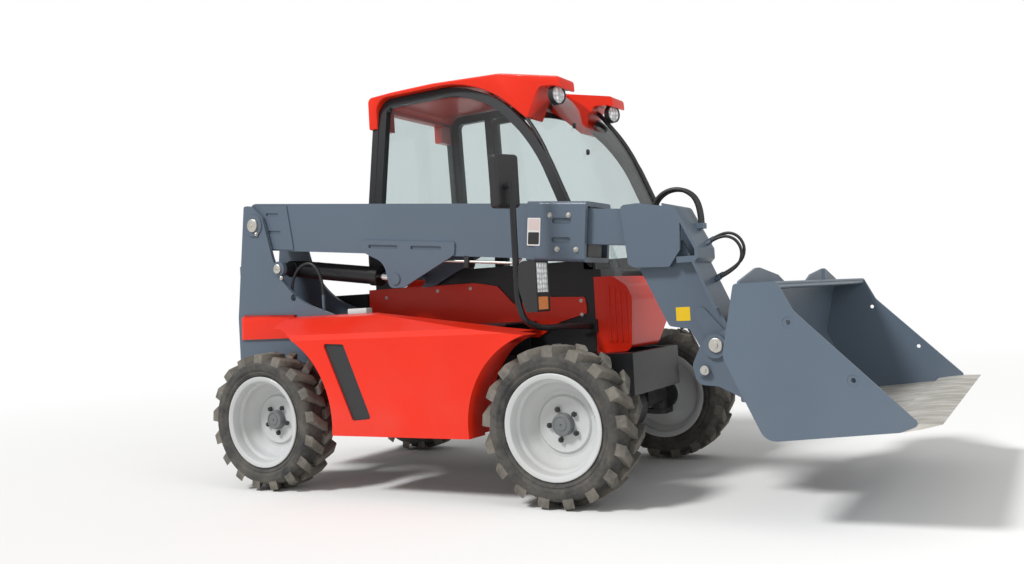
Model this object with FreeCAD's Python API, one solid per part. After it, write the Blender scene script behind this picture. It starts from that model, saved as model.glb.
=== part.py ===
import FreeCAD, Part
import math
import os

# Compact telescopic handler with an earth bucket, in millimetres.
# It is laid out with X forward from the rear axle, Y to the left and Z up.
# export() then moves it so that X = 0 is the middle of its length and its tyres stand on Z = 0.

Vec = FreeCAD.Vector

# Whole machine
WHEELBASE = 1635.0
TRACK = 1275.0
AXLE_Z = 345.0
REAR_END_X = -395.0
FIT = 0.05                # radial running fit of a pin or shaft
SEAT = 0.3                # gap of parts that lie against each other
SWING_GAP = 10.0          # side gap of plates that turn past each other
BEND_SHARE = 0.45         # part of a straight run that each bend at its ends takes up

# Tyres and rims
TYRE_RADIUS = 345.0
TYRE_WIDTH = 215.0
LUG_HEIGHT = 26.0
LUG_COUNT = 17            # on each side of a tyre
LUG_WIDTH = 36.0
LUG_SWEEP = 66.0          # how far a lug's outer end trails its inner end
LUG_OVERLAP = 6.0         # how far a lug reaches past the tread's middle
LUG_INSET = 3.0           # its outer end lies this far inside the tyre's face
LUG_TILT = 0.1            # slopes of its flat top, round and across the tyre
LUG_CROWN = 0.07
SHOULDER = 34.0
BEAD_INSET = 9.5          # between the rim's edge and the tyre's bead
SIDEWALL_SHARE = 0.48     # widest place of the tyre, from the rim's edge to the lugs' tips
RIM_RADIUS = 229.0
RIM_FLANGE = 24.0
RIM_WALL = 8.0
RIM_EDGE = 10.0           # the rim's edge lies this far inside the tyre's face
DISC_INSET = 132.0
DISC_WALL = 10.0
HUB_CAP_RADIUS = 62.0
HUB_CAP_HEIGHT = 46.0
HUB_BOSS_RADIUS = 75.0
HUB_BOSS_HEIGHT = 20.0
STUB_RADIUS = 30.0
STUB_LENGTH = 60.0

# Axles and steering
KINGPIN_INSET = 137.5     # from a tyre's middle inwards to its kingpin
AXLE_RADIUS = 50.0
DIFF_RADIUS = 115.0
DIFF_WIDTH = 210.0
KINGPIN_RADIUS = 18.0
KINGPIN_BOSS = 40.0
BOSS_HALF = 70.0
YOKE_WALL = 24.0
YOKE_HALF_WIDTH = 45.0
STEER_ARM = 120.0
STEER_ROD_RADIUS = 14.0
STEER_EYE_RADIUS = 24.0
STEER_BARREL_RADIUS = 32.0
STEER_BARREL_HALF = 150.0

# Chassis
FRONT_OVERHANG = 195.0
RAIL_INNER_Y = 200.0
RAIL_OUTER_Y = 290.0
RAIL_BOTTOM = 430.0
RAIL_TOP = 620.0
RAIL_WALL = 12.0
ARM_WIDTH = 30.0
SLOT_FLOOR_Z = 772.0      # underside of the floor between the side cover and the cab
STEP_Z = 352.0
STEP_WALL = 16.0

# Boom tower
TOWER_WALL = 20.0
TOWER_REAR_X = -386.0
TOWER_FRONT_X = 279.0
PIVOT_X = -242.0
PIVOT_Z = 1363.0
PIVOT_PIN = 35.0
LIFT_BASE_DX = 164.0      # the lift cylinder's foot, from the boom's pivot
LIFT_BASE_DZ = -244.0
LIFT_PIN = 24.0
SPARE_BORE = (15.0, 962.0, 18.0)    # x, z and radius

# Boom
BOOM_SLOPE = 5.5          # degrees that the boom points down at rest
BOOM_Y = -320.0           # middle of the boom
BOOM_WIDTH = 250.0
BOOM_TOP = 119.0          # above the line through the boom's pivot
BOOM_BOTTOM = -131.0
BOOM_WALL = 12.0
BOOM_BACK = 62.0
BOOM_LENGTH = 1958.0
FOOT_SLEEVE = 50.0
COLLAR_LENGTH = 295.0
COLLAR_WALL = 10.0
LUG_PLATE_WALL = 8.0
LUG_PIN_CAP = 6.0
FOOT_PLATE_WALL = 6.0
LIFT_EYE_U = 936.0        # the lift rod's eye, along and across the boom
LIFT_EYE_N = -252.0
INNER_START = 400.0
INNER_REACH = 192.0       # how far the inner boom stands out of the outer one
INNER_GAP = 13.0
PAD_TOP = 10.0
PAD_BOTTOM = 59.0
INNER_WALL = 10.0

# Boom head, with its pivots measured from the outer boom's front end
HEAD_WALL = 14.0
NECK_WIDTH = 150.0
NECK_WALL = 15.0
WIDE_NECK_DZ = -370.0     # the neck's front plate is as wide as the head above this height
TILT_PIVOT_DX = 552.0
TILT_PIVOT_DZ = -524.0
TILT_PIVOT_PIN = 24.0
TILT_EYE = (-56.0, -101.0)          # from the tilt pivot
TILT_BASE = (-274.0, 379.0)

# Cylinders
LIFT_BARREL_RADIUS = 46.0
LIFT_ROD_RADIUS = 25.0
LIFT_BARREL_LENGTH = 560.0
LIFT_EYE_RADIUS = 44.0
LIFT_EYE_HALF = 60.0
TILT_BARREL_RADIUS = 40.0
TILT_ROD_RADIUS = 20.0
TILT_BARREL_LENGTH = 320.0
TILT_EYE_RADIUS = 34.0
TILT_EYE_HALF = 30.0
TILT_PIN = 18.0
LIFT_RETRACT = 30.0       # how far each rod goes in from rest
TILT_RETRACT = 152.0
ROD_END_GAP = 6.0

# Carriage and bucket, measured from the tilt pivot
EAR_WALL = 18.0
CARRIAGE_HALF = 430.0
CARRIAGE_WALL = 24.0
CHEEK_WALL = 20.0
PLATE_DX = 93.0           # rear face of the carriage's cross plate
BAR_DX = 125.0            # round bar that the bucket's hooks hang on
BAR_DZ = 175.0
BAR_RADIUS = 22.0
BAR_FOOT_DX = 171.0       # the bucket leans on the carriage's foot here
BUCKET_WIDTH = 1752.0
BUCKET_WALL = 8.0
SIDE_WALL = 12.0
SIDE_HOLE = 20.0
LIP_DX = 889.0
EDGE_WALL = 18.0
HOOK_WALL = 16.0

# Covers
POD_OVERLAP = 52.0        # how far the side cover reaches in behind the tyres
POD_BOTTOM = 290.0
POD_WALL = 8.0
REAR_CLEARANCE = 120.0    # arches around the tyres
FRONT_CLEARANCE = 60.0
STEERED_CLEARANCE = 101.0
STEERED_INSET = 25.5
COVER_TOP = 872.0
COVER_WALL = 8.0
RIB_RADIUS = 7.0
RIB_COUNT = 4
RIB_PITCH = 28.0

# Cab
CAB_RIGHT_Y = -165.0
CAB_RIGHT_TOP_Y = -50.0
CAB_LEFT_Y = 740.0
CAB_LEFT_TOP_Y = 700.0
CAB_WAIST = 1300.0        # the sides lean inwards above this height
CAB_REAR_X = 250.0
CAB_BOTTOM = 622.0
CAB_TOP = 1950.0
CAB_WALL = 45.0
PILLAR = 62.0
SILL = 1010.0
GLASS = 6.0
GLASS_INSET = 14.0
DOOR_REAR_X = 625.0
DOOR_BOTTOM = 660.0
DOOR_GAP = 6.0
HINGE_RADIUS = 12.0
HINGE_HEIGHT = 30.0
HINGE_HEIGHTS = (830.0, 1230.0)
ROOF_RISE = 110.0
ROOF_REAR_X = 245.0
CAB_ARCH_Y = 310.0        # the left front wheel's arch reaches in to here
SEAT_X = 560.0
SEAT_TOP = 980.0
STEER_Y = 290.0           # middle of the steering wheel
WHEEL_RING = 165.0

# Lamps and mirror
ARM_RADIUS = 14.0
MIRROR_WIDTH = 133.0
MIRROR_HEIGHT = 235.0
MIRROR_DEPTH = 45.0
MIRROR_TURN = -25.0       # degrees that the mirror's back turns to the right
LAMP_Y = 700.0
LAMP_WIDTH = 120.0
LAMP_HEIGHT = 145.0
LAMP_DEPTH = 85.0
ROOF_LAMP_RADIUS = 40.0
REAR_LAMP = (90.0, 60.0)  # width and height

# Hoses and pipes
HEAD_HOSE = 10.0
TOOL_HOSE = 6.5
TOWER_HOSE = 8.0
PIPE = 7.0
TOWER_HOSE_INSET = 20.0   # from the tower's near plate
TOWER_HOSE_X = (-30.0, 962.0, (184.0, 968.0))    # start's x and z, and the end
HEAD_HOSE_Y = (-245.0, -272.0)
HEAD_HOSE_ENDS = ((243.0, -1.0), (465.0, -1.0))  # x and z from the outer boom's front end
# y of each loop and how much lower it lies than the first
TOOL_HOSES = ((-236.0, 0.0), (-280.0, -16.0))
# x and z of each fitting's tip, and of its length
TOOL_HOSE_ENDS = (((510.0, -68.0), (30.0, 15.0)), ((543.0, -224.0), (40.0, 18.0)))

HALF_TYRE = TYRE_WIDTH / 2
SIDEWALL_RADIUS = RIM_RADIUS + SIDEWALL_SHARE * (TYRE_RADIUS - RIM_RADIUS)
KINGPIN_Y = TRACK / 2 - KINGPIN_INSET
RIM_BARREL = RIM_RADIUS - RIM_FLANGE
RAIL_FRONT_X = WHEELBASE + FRONT_OVERHANG
REAR_ARCH = TYRE_RADIUS + REAR_CLEARANCE
FRONT_ARCH = TYRE_RADIUS + FRONT_CLEARANCE
STEERED_ARCH = TYRE_RADIUS + STEERED_CLEARANCE
STEERED_Y = STEERED_INSET - TRACK / 2
POD_OUTER_Y = -TRACK / 2 - HALF_TYRE
POD_INNER_Y = HALF_TYRE + POD_OVERLAP - TRACK / 2
INNER_COVER_Y = CAB_RIGHT_Y - SEAT

BOOM_NEAR_Y = BOOM_Y - BOOM_WIDTH / 2
BOOM_FAR_Y = BOOM_Y + BOOM_WIDTH / 2
TOWER_NEAR_Y = BOOM_NEAR_Y - SWING_GAP
TOWER_FAR_Y = BOOM_FAR_Y + SWING_GAP
INNER_WIDTH = BOOM_WIDTH - 2 * (BOOM_WALL + INNER_GAP)
INNER_TOP = BOOM_TOP - BOOM_WALL - PAD_TOP
INNER_BOTTOM = BOOM_BOTTOM + BOOM_WALL + PAD_BOTTOM
INNER_END = BOOM_LENGTH + INNER_REACH
INNER_NEAR_Y = BOOM_Y - INNER_WIDTH / 2
INNER_FAR_Y = BOOM_Y + INNER_WIDTH / 2
NECK_NEAR_Y = BOOM_Y - NECK_WIDTH / 2
NECK_FAR_Y = BOOM_Y + NECK_WIDTH / 2
LIFT_BASE_X = PIVOT_X + LIFT_BASE_DX
LIFT_BASE_Z = PIVOT_Z + LIFT_BASE_DZ
HEAD_X = PIVOT_X + BOOM_LENGTH * math.cos(math.radians(BOOM_SLOPE))
HEAD_Z = PIVOT_Z - BOOM_LENGTH * math.sin(math.radians(BOOM_SLOPE))
TILT_PIVOT_X = HEAD_X + TILT_PIVOT_DX
TILT_PIVOT_Z = HEAD_Z + TILT_PIVOT_DZ
PLATE_X = TILT_PIVOT_X + PLATE_DX
BAR_X = TILT_PIVOT_X + BAR_DX
BAR_Z = TILT_PIVOT_Z + BAR_DZ
BAR_FOOT_X = TILT_PIVOT_X + BAR_FOOT_DX
ORIGIN_X = (REAR_END_X + TILT_PIVOT_X + LIP_DX) / 2

SCREEN_BOTTOM = (WHEELBASE + 5, SILL - 20)
SCREEN_MIDDLE = (WHEELBASE - 145, CAB_TOP - 320)
SCREEN_TOP = (WHEELBASE - 300, CAB_TOP - 45)
ROOF_FRONT_X = WHEELBASE - 210
HINGE_Y = CAB_LEFT_Y + 13
LAMP_BACK_X = WHEELBASE - 155
COLUMN_FOOT = (WHEELBASE - 185, SILL - 105)
COLUMN_TOP = (WHEELBASE - 380, SILL + 220)


def box(x0, x1, y0, y1, z0, z1):
    return Part.makeBox(x1 - x0, y1 - y0, z1 - z0, Vec(x0, y0, z0))


def rod(start, end, radius):
    way = Vec(*end) - Vec(*start)
    return Part.makeCylinder(radius, way.Length, Vec(*start), way)


def cross_pin(x, z, y0, y1, radius):
    return rod((x, y0, z), (x, y1, z), radius)


def fuse(shapes):
    return shapes[0].multiFuse(shapes[1:]).removeSplitter()


def together(shapes):
    return Part.makeCompound(shapes)


def largest(shape):
    return max(shape.Solids, key=lambda solid: solid.Volume)


def spot(plane, a, b, level):
    if plane == "xz":
        return Vec(a, level, b)
    if plane == "yz":
        return Vec(level, a, b)
    return Vec(a, b, level)


def outline(plane, corners, level):
    """Closed wire; each corner is its two places in the plane and its rounding radius."""
    places = [spot(plane, a, b, level) for a, b, radius in corners]
    turns = []
    for index, place in enumerate(places):
        radius = corners[index][2]
        back = (places[index - 1] - place).normalize()
        on = (places[(index + 1) % len(places)] - place).normalize()
        if radius == 0:
            turns.append((place, None, place))
            continue
        half = back.getAngle(on) / 2
        middle = (back + on).normalize()
        reach = radius / math.tan(half)
        nearest = place + middle * (radius / math.sin(half) - radius)
        turns.append((place + back * reach, nearest, place + on * reach))
    edges = []
    for index, (start, nearest, end) in enumerate(turns):
        if nearest is not None:
            edges.append(Part.Arc(start, nearest, end).toShape())
        following = turns[(index + 1) % len(turns)][0]
        if (following - end).Length > 0.001:
            edges.append(Part.LineSegment(end, following).toShape())
    return Part.Wire(edges)


def sheet(plane, corners, start, end):
    """Flat shape with rounded corners, from one level to another across its plane."""
    across = spot(plane, 0, 0, end - start)
    return Part.Face(outline(plane, corners, start)).extrude(across)


def shifted(a, b, corners):
    """Corners given from the point (a, b), in the plane's own axes."""
    return [(a + da, b + db, radius) for da, db, radius in corners]


def lathe(corners):
    """Body turned about the Y axis from corners (radius, y, rounding)."""
    face = Part.Face(outline("xy", corners, 0))
    return face.revolve(Vec(0, 0, 0), Vec(0, 1, 0), 360)


def bent_bar(points, radius):
    """Round bar along straight runs, with bends as large as the two runs beside each allow."""
    places = [Vec(*point) for point in points]
    start = places[0]
    edges = []
    bends = []
    for before, corner, after in zip(places, places[1:], places[2:]):
        back = before - corner
        on = after - corner
        reach = BEND_SHARE * min(back.Length, on.Length)
        back.normalize()
        on.normalize()
        half = back.getAngle(on) / 2
        bend = reach * math.tan(half)
        nearest = corner + (back + on).normalize() * (bend / math.sin(half) - bend)
        edges.append(Part.LineSegment(start, corner + back * reach).toShape())
        edges.append(Part.Arc(corner + back * reach, nearest, corner + on * reach).toShape())
        start = corner + on * reach
        bends.append(bend)
    edges.append(Part.LineSegment(start, places[-1]).toShape())
    path = Part.Wire(edges)
    ring = Part.Wire(Part.makeCircle(radius, places[0], places[1] - places[0]))
    bar = path.makePipeShell([ring], True, True)
    expected = math.pi * radius ** 2 * path.Length
    print("bar length", round(path.Length), "least bend", round(min(bends)),
          "volume share", round(bar.Volume / expected, 4))
    return bar


def placed(shape, x, y, z):
    copy = shape.copy()
    copy.translate(Vec(x, y, z))
    return copy


def mirrored(shape):
    return shape.mirror(Vec(0, 0, 0), Vec(0, 1, 0))


def on_boom(shape):
    """Take a shape from the boom's own axes to its place at rest."""
    copy = shape.copy()
    copy.rotate(Vec(0, 0, 0), Vec(0, 1, 0), BOOM_SLOPE)
    copy.translate(Vec(PIVOT_X, 0, PIVOT_Z))
    return copy


def boom_place(u, n):
    slope = math.radians(BOOM_SLOPE)
    return (PIVOT_X + u * math.cos(slope) + n * math.sin(slope),
            PIVOT_Z - u * math.sin(slope) + n * math.cos(slope))


def export(name, shape):
    moved = placed(shape, -ORIGIN_X, 0, TYRE_RADIUS - AXLE_Z)
    moved.exportStep("parts/" + name + ".step")
    solids[name] = moved


def facet_ring(profile, sides):
    """Solid of flat facets about the Y axis; the profile is its corners (radius, y)."""
    faces = []
    step = 2 * math.pi / sides
    for index in range(sides):
        here, there = [
            [Vec(radius * math.sin(angle), y, radius * math.cos(angle)) for radius, y in profile]
            for angle in (index * step, (index + 1) * step)]
        for corner in range(len(profile)):
            loop = [here[corner - 1], here[corner], there[corner], there[corner - 1]]
            faces.append(Part.Face(Part.makePolygon(loop + loop[:1])))
    return Part.makeSolid(Part.makeShell(faces))


def lug_bar():
    """One chevron lug, from just past the tread's middle to the left shoulder."""
    half = LUG_WIDTH / 2
    outer_y = HALF_TYRE - LUG_INSET
    foot_radius = SIDEWALL_RADIUS + LUG_INSET
    foot = math.sqrt(foot_radius ** 2 - LUG_SWEEP ** 2)
    highest = math.sqrt(TYRE_RADIUS ** 2 - half ** 2)
    plan = [(half, -LUG_OVERLAP), (half - LUG_SWEEP, outer_y), (-half - LUG_SWEEP, outer_y),
            (-half, -LUG_OVERLAP)]
    low = [Vec(x, y, foot) for x, y in plan]
    high = [Vec(x, y, highest + LUG_TILT * (x - half) - LUG_CROWN * (y + LUG_OVERLAP))
            for x, y in plan]
    loops = [low, high]
    for corner in range(4):
        loops.append([low[corner - 1], low[corner], high[corner], high[corner - 1]])
    faces = [Part.Face(Part.makePolygon(loop + loop[:1])) for loop in loops]
    return Part.makeSolid(Part.makeShell(faces))


def tyre():
    """Carcass with raised chevron lugs, centred on the origin with its axis along Y."""
    sides = 2 * LUG_COUNT
    base = TYRE_RADIUS - LUG_HEIGHT
    bead = (RIM_BARREL + SEAT) / math.cos(math.pi / sides)
    edge = HALF_TYRE - RIM_EDGE - RIM_WALL - BEAD_INSET
    half = [(bead, edge), (SIDEWALL_RADIUS, HALF_TYRE), (base, HALF_TYRE - SHOULDER)]
    carcass = facet_ring(half + [(radius, -y) for radius, y in reversed(half)], sides)
    left = lug_bar()
    right = mirrored(left)
    pitch = 360 / LUG_COUNT
    start = -math.degrees(math.asin(LUG_WIDTH / 2 / TYRE_RADIUS))
    lugs = []
    for index in range(LUG_COUNT):
        for side, lead in ((left, 0), (right, pitch / 2)):
            lug = side.copy()
            lug.rotate(Vec(0, 0, 0), Vec(0, 1, 0), start + index * pitch + lead)
            lugs.append(lug)
    return carcass.multiFuse(lugs)


def rim():
    """Rim with dished disc, hub cap and bearing bore; its open face is towards +Y."""
    edge = HALF_TYRE - RIM_EDGE
    inside = RIM_BARREL - RIM_WALL
    disc = edge - DISC_INSET
    back = disc - DISC_WALL
    boss = back - HUB_BOSS_HEIGHT
    bore = STUB_RADIUS + FIT
    bore_end = boss + STUB_LENGTH
    return lathe([
        (0, bore_end, 0), (bore, bore_end, 0), (bore, boss, 0), (HUB_BOSS_RADIUS, boss, 0),
        (HUB_BOSS_RADIUS, back, 0), (inside - 47, back, 0), (inside - 6, back + 24, 0),
        (inside, back + 24, 0), (inside, -edge, 0), (RIM_RADIUS, -edge, 0),
        (RIM_RADIUS, -edge + RIM_WALL, 0), (RIM_BARREL, -edge + RIM_WALL, 0),
        (RIM_BARREL, edge - RIM_WALL, 0), (RIM_RADIUS, edge - RIM_WALL, 0),
        (RIM_RADIUS, edge, 0), (inside, edge, 0), (inside, disc + 28, 0),
        (inside - 42, disc, 0), (HUB_CAP_RADIUS, disc, 0),
        (HUB_CAP_RADIUS, disc + HUB_CAP_HEIGHT, 8), (0, disc + HUB_CAP_HEIGHT, 0)])


def wheel_places():
    """Name, x and side of each wheel."""
    return [("front_right", WHEELBASE, -1), ("front_left", WHEELBASE, 1),
            ("rear_right", 0.0, -1), ("rear_left", 0.0, 1)]


def make_wheels():
    left_tyre = tyre()
    left_rim = rim()
    right_rim = mirrored(left_rim)
    for name, x, side in wheel_places():
        y = side * TRACK / 2
        export("tyre_" + name, placed(left_tyre, x, y, AXLE_Z))
        export("rim_" + name, placed(left_rim if side > 0 else right_rim, x, y, AXLE_Z))


def hub_face():
    """Distance from the middle plane to where a wheel's boss starts."""
    return TRACK / 2 + HALF_TYRE - RIM_EDGE - DISC_INSET - DISC_WALL - HUB_BOSS_HEIGHT


def make_axles():
    face = hub_face() - SEAT
    saddle_top = RAIL_BOTTOM
    middle = lathe([(0, -DIFF_WIDTH / 2, 0), (70, -DIFF_WIDTH / 2, 0), (DIFF_RADIUS, -50, 0),
                    (DIFF_RADIUS, 50, 0), (70, DIFF_WIDTH / 2, 0), (0, DIFF_WIDTH / 2, 0)])
    saddles = [box(-60, 60, side * RAIL_INNER_Y if side > 0 else -RAIL_OUTER_Y,
                   RAIL_OUTER_Y if side > 0 else -RAIL_INNER_Y, 0, saddle_top - AXLE_Z)
               for side in (-1, 1)]
    rear = [rod((0, -face, 0), (0, face, 0), AXLE_RADIUS), middle]
    rear += saddles
    for side in (-1, 1):
        rear.append(rod((0, side * (face - 22), 0), (0, side * face, 0), HUB_BOSS_RADIUS))
        rear.append(rod((0, side * face, 0),
                        (0, side * (face + STUB_LENGTH - 5), 0), STUB_RADIUS))
    export("rear_axle", placed(fuse(rear), 0, 0, AXLE_Z))

    front = [rod((0, -KINGPIN_Y, 0), (0, KINGPIN_Y, 0), AXLE_RADIUS - 8), middle]
    front += saddles
    for side in (-1, 1):
        y = side * KINGPIN_Y
        front.append(rod((0, y, -BOSS_HALF), (0, y, BOSS_HALF), KINGPIN_BOSS))
        bracket_y = side * (STEER_BARREL_HALF - 30)
        front.append(box(-STEER_ARM, 0, bracket_y - 10, bracket_y + 10,
                         rod_height() - 12, 12))
    beam = fuse(front)
    for side in (-1, 1):
        y = side * KINGPIN_Y
        beam = beam.cut(rod((0, y, -BOSS_HALF), (0, y, BOSS_HALF), KINGPIN_RADIUS + FIT))
        keep = rod((0, side * (KINGPIN_Y + KINGPIN_BOSS + 2), 0),
                   (0, side * (KINGPIN_Y + 200), 0), AXLE_RADIUS)
        beam = beam.cut(keep)
    barrel_hole = rod((-STEER_ARM, -STEER_BARREL_HALF, rod_height()),
                      (-STEER_ARM, STEER_BARREL_HALF, rod_height()), STEER_BARREL_RADIUS)
    export("front_axle", placed(beam.cut(barrel_hole), WHEELBASE, 0, AXLE_Z))


def rod_height():
    """Height of the steering rod against the axle, just above the knuckles' arms."""
    return -BOSS_HALF + STEER_EYE_RADIUS / 2 + 1


def knuckle():
    """Left steering knuckle about its kingpin, with the stub axle towards +Y."""
    face = hub_face() - SEAT - KINGPIN_Y
    plate_in = KINGPIN_BOSS + 8
    pieces = [
        rod((0, plate_in, 0), (0, face, 0), HUB_BOSS_RADIUS + 3),
        rod((0, face, 0), (0, face + STUB_LENGTH - 5, 0), STUB_RADIUS),
        rod((0, 0, -BOSS_HALF - YOKE_WALL), (0, 0, BOSS_HALF + YOKE_WALL), KINGPIN_RADIUS),
        box(-YOKE_HALF_WIDTH, YOKE_HALF_WIDTH, plate_in, face,
            -BOSS_HALF - YOKE_WALL, BOSS_HALF + YOKE_WALL)]
    for low in (BOSS_HALF + SEAT, -BOSS_HALF - YOKE_WALL):
        arm = sheet("xy", [(-YOKE_HALF_WIDTH, face, 0), (-YOKE_HALF_WIDTH, -YOKE_HALF_WIDTH, 30),
                           (YOKE_HALF_WIDTH, -YOKE_HALF_WIDTH, 30), (YOKE_HALF_WIDTH, face, 0)],
                    low, low + YOKE_WALL - SEAT)
        pieces.append(arm)
    low = -BOSS_HALF - YOKE_WALL
    steer_arm = sheet("xy", [(0, -28, 0), (0, 28, 0), (-STEER_ARM - 28, 28, 27),
                             (-STEER_ARM - 28, -28, 27)], low, low + YOKE_WALL - SEAT)
    pieces.append(steer_arm)
    return fuse(pieces)


def make_steering():
    left = knuckle()
    export("knuckle_left", placed(left, WHEELBASE, KINGPIN_Y, AXLE_Z))
    export("knuckle_right", placed(mirrored(left), WHEELBASE, -KINGPIN_Y, AXLE_Z))
    x = WHEELBASE - STEER_ARM
    z = AXLE_Z + rod_height()
    barrel = cross_pin(x, z, -STEER_BARREL_HALF, STEER_BARREL_HALF, STEER_BARREL_RADIUS)
    bore = cross_pin(x, z, -STEER_BARREL_HALF, STEER_BARREL_HALF, STEER_ROD_RADIUS + FIT)
    export("steering_cylinder", barrel.cut(bore))
    low = -STEER_EYE_RADIUS / 2
    pieces = [cross_pin(x, z, -KINGPIN_Y, KINGPIN_Y, STEER_ROD_RADIUS - 4)]
    pieces.append(cross_pin(x, z, -KINGPIN_Y + 90, KINGPIN_Y - 90, STEER_ROD_RADIUS))
    for side in (-1, 1):
        pieces.append(rod((x, side * KINGPIN_Y, z + low), (x, side * KINGPIN_Y, z - low),
                          STEER_EYE_RADIUS))
    export("steering_rod", fuse(pieces))
def make_chassis():
    """Two box rails with cross members, side arms, the slot's floor and the left step."""
    back = TOWER_REAR_X + 16
    pieces = []
    for side in (-1, 1):
        near, far = sorted((side * RAIL_INNER_Y, side * RAIL_OUTER_Y))
        rail = box(back, RAIL_FRONT_X, near, far, RAIL_BOTTOM, RAIL_TOP)
        hollow = box(back + RAIL_WALL, RAIL_FRONT_X - RAIL_WALL, near + RAIL_WALL,
                     far - RAIL_WALL, RAIL_BOTTOM + RAIL_WALL, RAIL_TOP - RAIL_WALL)
        pieces.append(rail.cut(hollow))
    for x, width in ((back, 30), (CAB_REAR_X + 10, 60), (WHEELBASE - 635, 60),
                     (RAIL_FRONT_X - 30, 30)):
        pieces.append(box(x, x + width, -RAIL_INNER_Y, RAIL_INNER_Y, RAIL_BOTTOM, RAIL_TOP))
    for x in (REAR_ARCH + 270, WHEELBASE - 535):
        pieces.append(box(x, x + ARM_WIDTH, POD_OUTER_Y + POD_WALL + SEAT, -RAIL_OUTER_Y,
                          RAIL_BOTTOM, RAIL_BOTTOM + 40))
        pieces.append(box(x, x + ARM_WIDTH, RAIL_OUTER_Y, CAB_LEFT_Y - 40,
                          RAIL_BOTTOM, RAIL_BOTTOM + 40))
    floor_front = WHEELBASE - 345
    floor_right = POD_INNER_Y + SEAT
    floor_left = INNER_COVER_Y - COVER_WALL - SEAT
    web_y = -(RAIL_INNER_Y + RAIL_OUTER_Y) / 2
    pieces.append(box(TOWER_FRONT_X + SEAT, floor_front, floor_right, floor_left,
                      SLOT_FLOOR_Z, SLOT_FLOOR_Z + COVER_WALL))
    pieces.append(box(TOWER_FRONT_X + SEAT, floor_front, web_y - COVER_WALL / 2,
                      web_y + COVER_WALL / 2, RAIL_TOP, SLOT_FLOOR_Z))
    first = REAR_ARCH + 270
    last = WHEELBASE - 535 + ARM_WIDTH
    step_out = CAB_LEFT_Y - 5
    pieces.append(box(first, last, step_out - 150, step_out, STEP_Z, STEP_Z + STEP_WALL))
    for x in (first, last - ARM_WIDTH):
        pieces.append(box(x, x + ARM_WIDTH, CAB_LEFT_Y - 60, CAB_LEFT_Y - 40,
                          STEP_Z + STEP_WALL, RAIL_BOTTOM + 40))
    export("chassis_frame", fuse(pieces))


def tower_corners():
    """Side plate of the boom tower, with its long hollow front edge."""
    low = COVER_TOP - 40
    return [(TOWER_REAR_X, COVER_TOP, 30), (PIVOT_X - 67, PIVOT_Z + 109, 12),
            (PIVOT_X - 20, PIVOT_Z + 109, 60), (PIVOT_X + 62, PIVOT_Z + 37, 40),
            (PIVOT_X + 172, COVER_TOP + 113, 430), (TOWER_FRONT_X, COVER_TOP - 10, 12),
            (TOWER_FRONT_X, low, 0), (TOWER_REAR_X, low, 0)]


def make_tower():
    near = TOWER_NEAR_Y
    far = TOWER_FAR_Y
    pieces = [sheet("xz", tower_corners(), near - TOWER_WALL, near),
              sheet("xz", tower_corners(), far, far + TOWER_WALL)]
    low = COVER_TOP - 40
    foot = box(TOWER_REAR_X, TOWER_FRONT_X, near - TOWER_WALL, far + TOWER_WALL, RAIL_TOP, low)
    foot = foot.cut(box(TOWER_REAR_X + RAIL_WALL, TOWER_FRONT_X - RAIL_WALL, near, far,
                        RAIL_TOP + RAIL_WALL, low))
    pieces.append(foot)
    pieces.append(box(TOWER_REAR_X + 8, TOWER_REAR_X + 20, near, far, low, PIVOT_Z - 213))
    bosses = ((PIVOT_X, PIVOT_Z, PIVOT_PIN, 24), (LIFT_BASE_X, LIFT_BASE_Z, LIFT_PIN, 16))
    for x, z, radius, wall in bosses:
        pieces.append(cross_pin(x, z, near - TOWER_WALL - 6, near, radius + wall))
        pieces.append(cross_pin(x, z, far, far + TOWER_WALL + 6, radius + wall))
    x, start, end = TOWER_HOSE_X
    hose_y = near + TOWER_HOSE_INSET
    pieces.append(box(x - 12, x + 12, near, hose_y + 10, start - 24, start))
    pieces.append(rod((end[0], hose_y, low - 20), (end[0], hose_y, end[1]), TOWER_HOSE))
    pieces.append(box(end[0] - 12, end[0] + 12, near, hose_y, low - 20, low))
    tower = fuse(pieces)
    for x, z, radius, wall in bosses:
        tower = tower.cut(cross_pin(x, z, near - 60, far + 60, radius))
    x, z, radius = SPARE_BORE
    tower = tower.cut(cross_pin(x, z, near - 60, near + 5, radius))
    export("boom_tower", tower)
    reach = TOWER_WALL + 12
    export("tower_pins", together([
        cross_pin(x, z, near - reach, far + reach, radius) for x, z, radius, wall in bosses]))


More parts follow.
